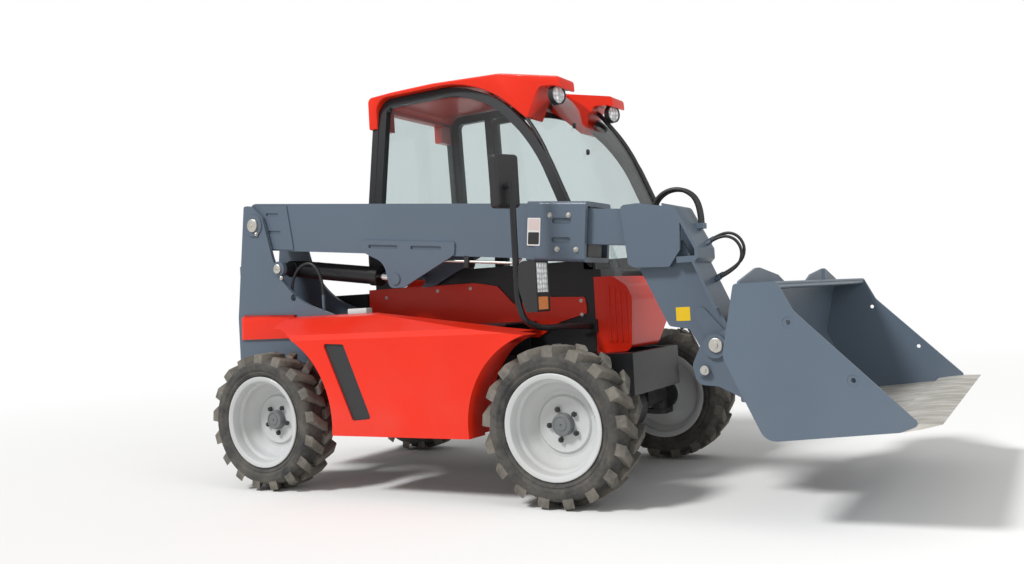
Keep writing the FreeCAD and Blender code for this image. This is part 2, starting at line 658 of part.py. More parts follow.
def make_outer_boom():
    """Boom tube in its own axes: u along it, n across it, both from the pivot."""
    side = [(-BOOM_BACK, BOOM_BOTTOM + 60, 40), (-BOOM_BACK, BOOM_TOP, 46),
            (BOOM_LENGTH, BOOM_TOP, 0), (BOOM_LENGTH, BOOM_BOTTOM, 0),
            (BOOM_BACK, BOOM_BOTTOM, 60)]
    tube = sheet("xz", side, BOOM_NEAR_Y, BOOM_FAR_Y)
    hollow = box(FOOT_SLEEVE + BOOM_WALL, BOOM_LENGTH + 1, BOOM_NEAR_Y + BOOM_WALL,
                 BOOM_FAR_Y - BOOM_WALL, BOOM_BOTTOM + BOOM_WALL, BOOM_TOP - BOOM_WALL)
    tube = tube.cut(hollow)
    tube = tube.cut(cross_pin(0, 0, BOOM_NEAR_Y - 1, BOOM_FAR_Y + 1, PIVOT_PIN + FIT))
    plate = shifted(LIFT_EYE_U, BOOM_BOTTOM, [
        (-224, 67, 10), (340, 67, 10), (340, 7, 30), (49, LIFT_EYE_N - BOOM_BOTTOM - 40, 40),
        (-36, LIFT_EYE_N - BOOM_BOTTOM - 48, 36), (-74, -44, 90), (-224, 11, 30)])
    lugs = []
    for start, away in ((BOOM_NEAR_Y, -1), (BOOM_FAR_Y, 1)):
        outer = start + away * LUG_PLATE_WALL
        low, high = sorted((start, outer))
        lug = sheet("xz", plate, low, high)
        for offset in (-174, 84):
            slot = shifted(LIFT_EYE_U + offset, BOOM_BOTTOM, [
                (0, 27, 9), (0, 45, 8.9), (180, 45, 8.9), (180, 27, 9)])
            lug = lug.cut(sheet("xz", slot, low, high))
        lugs.append(lug)
        lugs.append(cross_pin(LIFT_EYE_U, LIFT_EYE_N, outer, outer + away * LUG_PIN_CAP,
                              LIFT_PIN + 4))
    foot_plate = shifted(FOOT_SLEEVE, 0, [
        (-88, BOOM_TOP - 10, 30), (BOOM_WIDTH * 0.62, BOOM_TOP - 10, 6),
        (BOOM_WIDTH * 0.86, BOOM_BOTTOM + 8, 6), (60, BOOM_BOTTOM + 8, 30)])
    for start, away in ((BOOM_NEAR_Y, -1), (BOOM_FAR_Y, 1)):
        low, high = sorted((start, start + away * FOOT_PLATE_WALL))
        plate_solid = sheet("xz", foot_plate, low, high)
        for level, offset in ((52, 14), (-42, 34)):
            slot = shifted(FOOT_SLEEVE + offset, level, [
                (0, 0, 8), (0, 17, 8), (88, 17, 8), (88, 0, 8)])
            plate_solid = plate_solid.cut(sheet("xz", slot, low, high))
        lugs.append(plate_solid)
    outer = fuse([tube] + lugs)
    outer = outer.cut(cross_pin(0, 0, BOOM_NEAR_Y - 20, BOOM_FAR_Y + 20, PIVOT_PIN + FIT))
    export("boom_outer", on_boom(outer))

    pipes = []
    for index in range(2):
        y = BOOM_NEAR_Y + 14 + index * 24
        run = [(LIFT_EYE_U + 90, BOOM_BOTTOM), (LIFT_EYE_U + 112, BOOM_BOTTOM - 24),
               (BOOM_LENGTH - COLLAR_LENGTH - 70, BOOM_BOTTOM - 24),
               (BOOM_LENGTH - COLLAR_LENGTH - 48, BOOM_BOTTOM)]
        pipes.append(bent_bar([(u, y, n) for u, n in run], PIPE))
    under = box(0, BOOM_LENGTH, BOOM_NEAR_Y, BOOM_FAR_Y, BOOM_BOTTOM, BOOM_TOP)
    export("boom_pipes", on_boom(together([pipe.cut(under) for pipe in pipes])))


def make_collar():
    """Bolted frame round the boom's front end, and the wear pads under it."""
    start = BOOM_LENGTH - COLLAR_LENGTH
    outer = [(BOOM_NEAR_Y - COLLAR_WALL, BOOM_BOTTOM - COLLAR_WALL, 18),
             (BOOM_NEAR_Y - COLLAR_WALL, BOOM_TOP + COLLAR_WALL, 18),
             (BOOM_FAR_Y + COLLAR_WALL, BOOM_TOP + COLLAR_WALL, 18),
             (BOOM_FAR_Y + COLLAR_WALL, BOOM_BOTTOM - COLLAR_WALL, 18)]
    ring = sheet("yz", outer, start, BOOM_LENGTH)
    ring = ring.cut(box(start, BOOM_LENGTH, BOOM_NEAR_Y, BOOM_FAR_Y, BOOM_BOTTOM, BOOM_TOP))
    rear_step = [(start - 1, BOOM_BOTTOM - 20, 0), (start - 1, BOOM_TOP + 20, 0),
                 (start + 70, BOOM_TOP + 20, 0), (start + 46, BOOM_TOP - 60, 0),
                 (start + 46, BOOM_BOTTOM - 20, 0)]
    for near, far in ((BOOM_NEAR_Y - COLLAR_WALL, BOOM_NEAR_Y - COLLAR_WALL / 2),
                      (BOOM_FAR_Y + COLLAR_WALL / 2, BOOM_FAR_Y + COLLAR_WALL)):
        ring = ring.cut(sheet("xz", rear_step, near, far))
    for level in (-58, 28):
        slot = shifted(start, level, [(130, 0, 12), (130, 26, 12), (225, 26, 12), (225, 0, 12)])
        ring = ring.cut(sheet("xz", slot, BOOM_NEAR_Y - COLLAR_WALL, BOOM_NEAR_Y))
    export("boom_collar", on_boom(ring))
    pads = []
    pad_start = BOOM_LENGTH - 90
    pad_end = BOOM_LENGTH - 10
    low = BOOM_BOTTOM + BOOM_WALL
    high = BOOM_TOP - BOOM_WALL
    pads.append(box(pad_start, pad_end, INNER_NEAR_Y + 30, INNER_FAR_Y - 30,
                    low, INNER_BOTTOM - SEAT))
    pads.append(box(pad_start, pad_end, INNER_NEAR_Y + 30, INNER_FAR_Y - 30,
                    INNER_TOP + SEAT, high))
    pads.append(box(pad_start, pad_end, BOOM_NEAR_Y + BOOM_WALL, INNER_NEAR_Y - SEAT,
                    INNER_BOTTOM + 30, INNER_TOP - 30))
    pads.append(box(pad_start, pad_end, INNER_FAR_Y + SEAT, BOOM_FAR_Y - BOOM_WALL,
                    INNER_BOTTOM + 30, INNER_TOP - 30))
    export("boom_pads", on_boom(together(pads)))


def make_inner_boom():
    tube = box(INNER_START, INNER_END, INNER_NEAR_Y, INNER_FAR_Y, INNER_BOTTOM, INNER_TOP)
    hollow = box(INNER_START - 1, INNER_END + 1, INNER_NEAR_Y + INNER_WALL,
                 INNER_FAR_Y - INNER_WALL, INNER_BOTTOM + INNER_WALL, INNER_TOP - INNER_WALL)
    export("boom_inner", on_boom(tube.cut(hollow)))


def head_sheet(corners, y0, y1):
    """Plate of the boom head, its corners given from the outer boom's front end."""
    return sheet("xz", shifted(HEAD_X, HEAD_Z, corners), y0, y1)


def make_head():
    """Side plates on the inner boom, and the neck that drops to the tilt pivot."""
    near = INNER_NEAR_Y - HEAD_WALL
    far = INNER_FAR_Y + HEAD_WALL
    head = [(161, 95, 20), (243, 97, 60), (405, 65, 60), (428, 5, 0), (422, -117, 10),
            (371, -185, 10), (218, -179, 0), (186, -165, 10)]
    pieces = [head_sheet(head, near, INNER_NEAR_Y), head_sheet(head, INNER_FAR_Y, far)]
    down_x = TILT_PIVOT_DX
    down_z = TILT_PIVOT_DZ
    neck = [(218, -75, 0), (422, -75, 0), (468, -175, 10), (down_x + 45, down_z + 71, 10),
            (down_x + 52, down_z - 50, 50), (down_x - 52, down_z - 50, 52),
            (down_x - 120, down_z + 72, 20), (down_x - 209, down_z + 87, 20), (218, -175, 20)]
    pieces.append(head_sheet(neck, NECK_NEAR_Y, NECK_NEAR_Y + NECK_WALL))
    pieces.append(head_sheet(neck, NECK_FAR_Y - NECK_WALL, NECK_FAR_Y))
    nose = [(353, 87, 0), (405, 73, 20), (429, 25, 0), (499, -113, 4), (499, -155, 4),
            (483, -171, 0), (473, -171, 0), (485, -145, 0), (485, -117, 0), (405, 45, 0),
            (353, 70, 0)]
    pieces.append(head_sheet(nose, near, far))
    front = [(468, -165, 0), (481, -171, 0), (down_x + 52, down_z + 71, 0),
             (down_x + 39, down_z + 67, 0)]
    pieces.append(head_sheet(front, NECK_NEAR_Y - 10, NECK_FAR_Y + 10))
    high = box(HEAD_X + 393, HEAD_X + 693, near, far, HEAD_Z + WIDE_NECK_DZ, HEAD_Z - 165)
    pieces.append(head_sheet(front, near, far).common(high))
    web = [(405, -145, 0), (493, -145, 0), (485, -171, 0), (405, -171, 0)]
    pieces.append(head_sheet(web, near, far))
    shelf = [(218, -179, 0), (371, -185, 0), (371, -171, 0), (218, -165, 0)]
    pieces.append(head_sheet(shelf, near, NECK_NEAR_Y))
    pieces.append(head_sheet(shelf, NECK_FAR_Y, far))
    pad = shifted(down_x, down_z, [(-109, 149, 26), (-55, 164, 26), (52, 40, 20), (52, -44, 46),
                                   (-46, -44, 46), (-46, 40, 20)])
    pieces.append(head_sheet(pad, NECK_NEAR_Y - 10, NECK_NEAR_Y))
    pieces.append(head_sheet(pad, NECK_FAR_Y, NECK_FAR_Y + 10))
    for y in HEAD_HOSE_Y:
        x, z = HEAD_HOSE_ENDS[0]
        pieces.append(box(HEAD_X + x - 14, HEAD_X + x + 14, y - 12, INNER_FAR_Y,
                          HEAD_Z + z - 24, HEAD_Z + z))
        x, z = HEAD_HOSE_ENDS[1]
        pieces.append(box(HEAD_X + x - 34, HEAD_X + x + 14, y - 12, y + 12,
                          HEAD_Z + z - 24, HEAD_Z + z))
    for y, drop in TOOL_HOSES:
        for (x, z), (away_x, away_z) in TOOL_HOSE_ENDS:
            tip = (HEAD_X + x, y, HEAD_Z + z + drop)
            foot = (HEAD_X + x - away_x, y, HEAD_Z + z + drop - away_z)
            pieces.append(rod(foot, tip, TOOL_HOSE + 3))
    head_shape = fuse(pieces)
    head_shape = head_shape.cut(cross_pin(TILT_PIVOT_X, TILT_PIVOT_Z, near - 50, far + 50,
                                          TILT_PIVOT_PIN + FIT))
    export("boom_head", head_shape)


def make_hoses():
    """Hoses over the head, the two loops in front of it, and the one beside the lift cylinder."""
    start, end = HEAD_HOSE_ENDS
    route = [start, (start[0], 90), (start[0] + 65, 156), (end[0] - 65, 156), (end[0], 90), end]
    for name, y in zip(("head_hose_left", "head_hose_right"), HEAD_HOSE_Y):
        export(name, bent_bar([(HEAD_X + x, y, HEAD_Z + z) for x, z in route], HEAD_HOSE))
    start, end = (spot for spot, away in TOOL_HOSE_ENDS)
    route = [start, (554, -46), (611, -60), (642, -109), (633, -166), (583, -206), end]
    for name, (y, drop) in zip(("tool_hose_left", "tool_hose_right"), TOOL_HOSES):
        export(name, bent_bar([(HEAD_X + x, y, HEAD_Z + z + drop) for x, z in route], TOOL_HOSE))
    x, start, end = TOWER_HOSE_X
    y = TOWER_NEAR_Y + TOWER_HOSE_INSET
    route = [(x, start), (x, 1022), (-4, 1088), (52, 1136), (127, 1138), (end[0], 1050), end]
    export("tower_hose", bent_bar([(x, y, z) for x, z in route], TOWER_HOSE))


def along(start, end, distance):
    """Point at a distance from start on the way to end, both (x, z)."""
    length = math.hypot(end[0] - start[0], end[1] - start[1])
    share = distance / length
    return (start[0] + (end[0] - start[0]) * share, start[1] + (end[1] - start[1]) * share)


def cylinder_pair(base, eye, barrel_length, radii, eye_radius, pin_radius, half_eye, retract):
    """Barrel and rod between two pin places; radii are the barrel's and the rod's."""
    barrel_radius, rod_radius = radii

    def at(distance):
        x, z = along(base, eye, distance)
        return (x, BOOM_Y, z)

    total = math.hypot(eye[0] - base[0], eye[1] - base[1])
    barrel = fuse([
        rod(at(eye_radius * 0.7), at(barrel_length - 50), barrel_radius),
        rod(at(barrel_length - 50), at(barrel_length), barrel_radius + 6),
        cross_pin(base[0], base[1], BOOM_Y - half_eye, BOOM_Y + half_eye, eye_radius)])
    barrel = barrel.cut(rod(at(eye_radius + 30), at(barrel_length + 1), rod_radius + FIT))
    rod_start = eye_radius + 30 + retract + ROD_END_GAP
    shaft = fuse([
        rod(at(rod_start), at(total - eye_radius * 0.6), rod_radius),
        cross_pin(eye[0], eye[1], BOOM_Y - half_eye, BOOM_Y + half_eye, eye_radius),
        cross_pin(eye[0], eye[1], BOOM_Y - half_eye - 14, BOOM_Y + half_eye + 14, pin_radius)])
    return barrel, shaft


def make_cylinders():
    lift_eye = boom_place(LIFT_EYE_U, LIFT_EYE_N)
    barrel, shaft = cylinder_pair(
        (LIFT_BASE_X, LIFT_BASE_Z), lift_eye, LIFT_BARREL_LENGTH,
        (LIFT_BARREL_RADIUS, LIFT_ROD_RADIUS), LIFT_EYE_RADIUS, LIFT_PIN, LIFT_EYE_HALF,
        LIFT_RETRACT)
    half = BOOM_WIDTH / 2
    for side in (-1, 1):
        spacer = cross_pin(LIFT_BASE_X, LIFT_BASE_Z, BOOM_Y + side * LIFT_EYE_HALF,
                           BOOM_Y + side * (half + SWING_GAP - 1), LIFT_PIN + 10)
        barrel = barrel.fuse(spacer)
    barrel = barrel.cut(cross_pin(LIFT_BASE_X, LIFT_BASE_Z, BOOM_NEAR_Y - 20, BOOM_FAR_Y + 20,
                                  LIFT_PIN + FIT))
    pin = cross_pin(lift_eye[0], lift_eye[1], BOOM_NEAR_Y + 6, BOOM_FAR_Y - 6, LIFT_PIN)
    export("lift_barrel", barrel)
    export("lift_rod", shaft.fuse(pin))

    base = (TILT_PIVOT_X + TILT_BASE[0], TILT_PIVOT_Z + TILT_BASE[1])
    eye = (TILT_PIVOT_X + TILT_EYE[0], TILT_PIVOT_Z + TILT_EYE[1])
    barrel, shaft = cylinder_pair(base, eye, TILT_BARREL_LENGTH,
                                  (TILT_BARREL_RADIUS, TILT_ROD_RADIUS), TILT_EYE_RADIUS,
                                  TILT_PIN, TILT_EYE_HALF, TILT_RETRACT)
    pin = cross_pin(base[0], base[1], NECK_NEAR_Y + NECK_WALL, NECK_FAR_Y - NECK_WALL, TILT_PIN)
    export("tilt_barrel", barrel.fuse(pin))
    export("tilt_rod", shaft)


def tool_sheet(plane_corners, y0, y1):
    """Plate of the carriage or bucket, its corners given from the tilt pivot."""
    return sheet("xz", shifted(TILT_PIVOT_X, TILT_PIVOT_Z, plane_corners), y0, y1)


def make_carriage():
    """Ears at the boom's neck, and the frame that holds the bucket by two hooks and a bar."""
    low = -211
    eye_x, eye_z = TILT_EYE
    ear = [(-52, 30, 40), (30, 60, 50), (PLATE_DX, 90, 0), (PLATE_DX, low, 0),
           (3, low + 45, 40), (eye_x - 30, eye_z - 58, 45), (eye_x - 48, eye_z + 25, 40)]
    near = NECK_NEAR_Y - 10 - SWING_GAP
    far = NECK_FAR_Y + 10 + SWING_GAP
    pieces = [tool_sheet(ear, near - EAR_WALL, near), tool_sheet(ear, far, far + EAR_WALL)]
    pieces.append(box(PLATE_X, PLATE_X + CARRIAGE_WALL, -CARRIAGE_HALF, CARRIAGE_HALF,
                      TILT_PIVOT_Z + low, TILT_PIVOT_Z + 90))
    cheek = [(PLATE_DX, low - 20, 8), (PLATE_DX, BAR_DZ + 4, 8), (BAR_DX - 10, BAR_DZ + 36, 20),
             (BAR_DX + 28, BAR_DZ + 20, 20), (BAR_DX + 16, -11, 0), (BAR_FOOT_DX, low, 0),
             (BAR_FOOT_DX, low - 20, 8)]
    for y in (-CARRIAGE_HALF, CARRIAGE_HALF - CHEEK_WALL, near - EAR_WALL, far):
        pieces.append(tool_sheet(cheek, y, y + CHEEK_WALL))
    pieces.append(cross_pin(BAR_X, BAR_Z, -CARRIAGE_HALF, CARRIAGE_HALF, BAR_RADIUS))
    pieces.append(box(PLATE_X + CARRIAGE_WALL, BAR_FOOT_X, -CARRIAGE_HALF, CARRIAGE_HALF,
                      TILT_PIVOT_Z + low - 12, TILT_PIVOT_Z + low + 8))
    for y0, y1 in ((near - EAR_WALL - 14, near - EAR_WALL), (far + EAR_WALL, far + EAR_WALL + 14)):
        pieces.append(cross_pin(TILT_PIVOT_X, TILT_PIVOT_Z, y0, y1, 50))
        pieces.append(cross_pin(TILT_PIVOT_X + eye_x, TILT_PIVOT_Z + eye_z, y0, y1, 23))
    pieces.append(cross_pin(TILT_PIVOT_X, TILT_PIVOT_Z, near - EAR_WALL, far + EAR_WALL,
                            TILT_PIVOT_PIN))
    export("carriage", fuse(pieces))


def make_bucket():
    half = BUCKET_WIDTH / 2
    inner_half = half - SIDE_WALL
    wall = BUCKET_WALL
    # back, top, side edge, lip, floor and heel, from the tilt pivot
    side = [(220, 249, 14), (375, 250, 14), (429, 142, 60), (822, -251, 14), (756, -278, 0),
            (307, -321, 60), (165, -13, 60)]
    hollow = [(234, 249 - wall, 8), (441, 249 - wall, 0), (941, -151, 0), (941, -266 + wall, 0),
              (756, -278 + wall, 0), (313, -321 + wall, 52), (178, -13, 52)]
    shell = tool_sheet(side, -half, half)
    shell = shell.cut(tool_sheet(hollow, -inner_half, inner_half))
    opening = [(375, 254, 0), (381, 239, 0), (429, 142, 0), (822, -251, 0), (941, -251, 0),
               (941, 254, 0)]
    shell = shell.cut(tool_sheet(opening, -inner_half, inner_half))
    for x, z in ((409, 103), (617, -103)):
        shell = shell.cut(cross_pin(TILT_PIVOT_X + x, TILT_PIVOT_Z + z, -half - 1, half + 1,
                                    SIDE_HOLE))
    humps = []
    top = TILT_PIVOT_Z + 249
    back = TILT_PIVOT_X + 231
    for sign in (-1, 1):
        corners = [(sign * 190, top - 2, 0), (sign * 300, top + 30, 80), (sign * 600, top + 62, 260),
                   (sign * (half - 4), top + 5, 30), (sign * (half - 4), top - 2, 0)]
        humps.append(sheet("yz", corners, back, back + 10))
    bar = cross_pin(TILT_PIVOT_X + 363, top - 14, -half, half, 14)
    stop = box(back + 120, back + 136, -6, 6, top, top + 46)
    foot = BAR_FOOT_DX + SEAT
    hook = [(BAR_DX - 28, BAR_DZ - 26, 10), (BAR_DX - 28, BAR_DZ + 40, 20), (215, BAR_DZ + 40, 0),
            (171, -13, 0), (274, -246, 0), (foot, -246, 0), (foot, -181, 0), (153, -11, 0),
            (153, BAR_DZ - 26, 0)]
    hooks = []
    for y in (CHEEK_WALL + 4 - CARRIAGE_HALF, CARRIAGE_HALF - CHEEK_WALL - 4 - HOOK_WALL):
        plate = tool_sheet(hook, y, y + HOOK_WALL)
        hooks.append(plate.cut(cross_pin(BAR_X, BAR_Z, y, y + HOOK_WALL, BAR_RADIUS + SEAT)))
    export("bucket", fuse([shell, bar, stop] + humps + hooks))
    low = -266
    edge = [(701, low - 17, 0), (756, low - 12, 0), (822, low, 0), (LIP_DX, low + 18, 0),
            (822, low + EDGE_WALL, 0), (756, low + EDGE_WALL - 6, 0), (701, low + EDGE_WALL - 13, 0)]
    blade = tool_sheet(edge, 2 - half, half - 2).cut(shell)
    export("cutting_edge", blade)


def pod_solid(inset):
    """Right side cover between the wheels; an inset gives the space inside it."""
    rear_x = 22 + inset
    front_x = WHEELBASE - 75 - inset
    side = sheet("xz", [(rear_x, POD_BOTTOM, 0), (front_x, POD_BOTTOM, 0),
                        (front_x, COVER_TOP - 140 - inset, 0),
                        (WHEELBASE - 345, COVER_TOP - 107 - inset, 0),
                        (REAR_ARCH + 24, COVER_TOP - inset, 0), (rear_x, COVER_TOP - inset, 0)],
                 POD_OUTER_Y + inset, POD_INNER_Y - inset)
    outer = POD_OUTER_Y - 1
    inner = POD_INNER_Y + 1
    slope = sheet("yz", [(outer, COVER_TOP + 28, 0), (outer, COVER_TOP - 127 - inset, 0),
                         (POD_OUTER_Y + 22 + inset, COVER_TOP - 100 - inset, 0),
                         (inner - 83, COVER_TOP - 22 - inset, 0),
                         (inner, COVER_TOP - 10 - inset, 0), (inner, COVER_TOP + 28, 0)],
                  0, WHEELBASE)
    solid = side.cut(slope)
    solid = solid.cut(cross_pin(0, AXLE_Z, outer, inner, REAR_ARCH + inset))
    solid = solid.cut(cross_pin(WHEELBASE, AXLE_Z, outer, inner, FRONT_ARCH + inset))
    return solid.cut(cross_pin(WHEELBASE, AXLE_Z, STEERED_Y - inset, inner,
                               STEERED_ARCH + inset))


def make_pod():
    inside = pod_solid(POD_WALL)
    inside = inside.fuse([placed(inside, 0, 0, -POD_WALL - 1), placed(inside, 0, POD_WALL + 1, 0)])
    shell = largest(pod_solid(0).cut(inside))
    grille = shifted(REAR_ARCH, COVER_TOP, [(-35, -144, 12), (90, -150, 12), (235, -500, 12),
                                            (125, -510, 12)])
    shell = shell.cut(sheet("xz", grille, POD_OUTER_Y - 1, POD_OUTER_Y + POD_WALL + 1))
    export("engine_pod", shell)
    back = POD_OUTER_Y + POD_WALL + SEAT
    mesh = shifted(REAR_ARCH, COVER_TOP, [(-53, -134, 12), (101, -138, 12), (253, -512, 12),
                                          (111, -522, 12)])
    export("pod_grille", sheet("xz", mesh, back, back + 4))
    export("engine_block", box(REAR_ARCH + 135, WHEELBASE - 575, POD_OUTER_Y + 65,
                               -RAIL_OUTER_Y - SEAT, RAIL_BOTTOM + 50, COVER_TOP - 127))


def make_covers():
    near = TOWER_NEAR_Y - TOWER_WALL
    far = TOWER_FAR_Y + TOWER_WALL
    left = CAB_LEFT_Y - 40
    rear = box(REAR_END_X, 20, near - 70, left, COVER_TOP - 152, COVER_TOP)
    rear = rear.makeFillet(24, [edge for edge in rear.Edges if edge.BoundBox.XMax < REAR_END_X + 1])
    rear = rear.cut(box(REAR_END_X + 10, 19, near - 62, left - 10, COVER_TOP - 153,
                        COVER_TOP - 10))
    rear = rear.cut(box(TOWER_REAR_X - SEAT, TOWER_FRONT_X, near - SEAT, far + SEAT,
                        COVER_TOP - 172, COVER_TOP + 1))
    width, height = REAR_LAMP
    low = COVER_TOP - 106
    lamps = []
    for y in (far + 30, left - 34 - width):
        rear = rear.cut(box(REAR_END_X - 1, REAR_END_X + 11, y - SEAT, y + width + SEAT,
                            low - SEAT, low + height + SEAT))
        lamps.append(box(REAR_END_X + 1, REAR_END_X + 30, y, y + width, low, low + height))
        lamps.append(box(REAR_END_X + 10 + SEAT, REAR_END_X + 30, y - 8, y + width + 8,
                         low - 8, low + height + 8))
    export("rear_cover", largest(rear))
    export("rear_lamps", together([fuse(lamps[:2]), fuse(lamps[2:])]))

    hood_right = far + 24
    hood_front = CAB_REAR_X - 10
    hood = sheet("xz", [(REAR_END_X + 40, COVER_TOP + SEAT, 0), (REAR_END_X + 60, COVER_TOP + 62, 40),
                        (REAR_END_X + 150, COVER_TOP + 92, 60), (hood_front, COVER_TOP + 92, 0),
                        (hood_front, COVER_TOP + SEAT, 0)], hood_right, left - 30)
    export("rear_hood", hood)

    outer = INNER_COVER_Y - COVER_WALL
    back = TOWER_FRONT_X + SEAT
    side = [(back, SILL - 28, 0), (WHEELBASE - 684, SILL - 27, 60),
            (WHEELBASE - 557, SILL - 50, 30), (WHEELBASE - 466, SILL - 145, 30),
            (WHEELBASE - 291, SILL - 117, 60), (WHEELBASE - 79, SILL - 127, 14),
            (WHEELBASE - 72, SILL - 204, 14), (WHEELBASE - 218, SILL - 240, 20),
            (WHEELBASE - 335, SILL - 310, 0), (back, SILL - 310, 0)]
    export("inner_cover", sheet("xz", side, outer, INNER_COVER_Y))

    back = WHEELBASE - 30
    low = SILL - 393
    nose = [(back, low, 0), (back, SILL - 36, 0), (WHEELBASE + 66, SILL - 37, 30),
            (WHEELBASE + 133, SILL - 83, 40), (WHEELBASE + 159, SILL - 139, 60),
            (WHEELBASE + 144, low + 6, 40)]
    cover_left = CAB_ARCH_Y - 10
    front = sheet("xz", nose, outer, cover_left)
    round_off = [(outer - 1, low - 1, 0), (outer - 1, SILL, 0), (cover_left + 1, SILL, 0),
                 (cover_left + 1, low + 150, 0), (cover_left - 160, low - 1, 0)]
    front = front.common(sheet("yz", round_off, back - 1, WHEELBASE + 200))
    inside = shifted(0, 0, [(back - 1, low - 1, 0), (back - 1, SILL - 36 - COVER_WALL, 0),
                            (WHEELBASE + 63, SILL - 37 - COVER_WALL, 30),
                            (WHEELBASE + 127, SILL - 88, 40),
                            (WHEELBASE + 151, SILL - 139, 60),
                            (WHEELBASE + 137, low - 1, 0)])
    front = front.cut(sheet("xz", inside, INNER_COVER_Y, cover_left - COVER_WALL))
    front = front.cut(box(back - 1, SCREEN_BOTTOM[0] + SEAT, INNER_COVER_Y, cover_left + 1,
                          low - 2, SILL))
    ribs = []
    for index in range(RIB_COUNT):
        x = WHEELBASE + 42 + index * RIB_PITCH
        high = SILL - 80 - index * 12
        ribs.append(rod((x, outer + 1, low + 52), (x, outer + 1, high), RIB_RADIUS))
    ribs = fuse([front] + ribs).cut(box(back - 1, WHEELBASE + 200, INNER_COVER_Y - 2,
                                        INNER_COVER_Y + 20, low + 50, SILL - 60))
    export("front_cover", largest(front.fuse(ribs)))


def cab_profile(inset):
    """Side outline of the cab moved inwards by an inset, as a face in the XZ plane."""
    low, mid, high = Vec(*SCREEN_BOTTOM), Vec(*SCREEN_MIDDLE), Vec(*SCREEN_TOP)
    circle = Part.Arc(low, mid, high).toShape().Curve
    centre = circle.Center
    radius = circle.Radius - inset

    def screen(z):
        return centre.x + math.sqrt(radius ** 2 - (z - centre.y) ** 2)

    bottom = CAB_BOTTOM + inset
    top = CAB_TOP - inset
    start = max(bottom, SCREEN_BOTTOM[1])
    heights = (start, (start + top) / 2, top)
    first, middle, last = [Vec(screen(z), 0, z) for z in heights]
    foot = Vec(first.x, 0, bottom)
    back_low = Vec(CAB_REAR_X + inset, 0, bottom)
    back_top = Vec(CAB_REAR_X + inset, 0, top)
    edges = [Part.LineSegment(back_low, foot).toShape(), Part.LineSegment(foot, first).toShape(),
             Part.Arc(first, middle, last).toShape(), Part.LineSegment(last, back_top).toShape(),
             Part.LineSegment(back_top, back_low).toShape()]
    return Part.Face(Part.Wire(edges))


def cab_solid(inset):
    """Whole cab as a solid, moved inwards by an inset on every side."""
    right = CAB_RIGHT_Y + inset
    left = CAB_LEFT_Y - inset
    face = cab_profile(inset)
    face.translate(Vec(0, right, 0))
    body = face.extrude(Vec(0, left - right, 0))
    high = CAB_TOP + 50
    lean_right = sheet("yz", [(right - 20, CAB_WAIST, 0), (right, CAB_WAIST, 0),
                              (CAB_RIGHT_TOP_Y + inset, high, 0), (right - 20, high, 0)],
                       0, 2 * WHEELBASE)
    lean_left = sheet("yz", [(left + 20, CAB_WAIST, 0), (left, CAB_WAIST, 0),
                             (CAB_LEFT_TOP_Y - inset, high, 0), (left + 20, high, 0)],
                      0, 2 * WHEELBASE)
    arch = cross_pin(WHEELBASE, AXLE_Z, CAB_ARCH_Y - inset, CAB_LEFT_Y + 1, FRONT_ARCH + inset)
    return body.cut(lean_right).cut(lean_left).cut(arch)


def window_cut(inset, rear_x, low, y0, y1):
    """Side window or door outline, bounded by the windscreen's curve, as a solid."""
    face = cab_profile(inset)
    face.translate(Vec(0, y0, 0))
    block = face.extrude(Vec(0, y1 - y0, 0))
    return block.common(box(rear_x, 2 * WHEELBASE, y0, y1, low, CAB_TOP - inset))


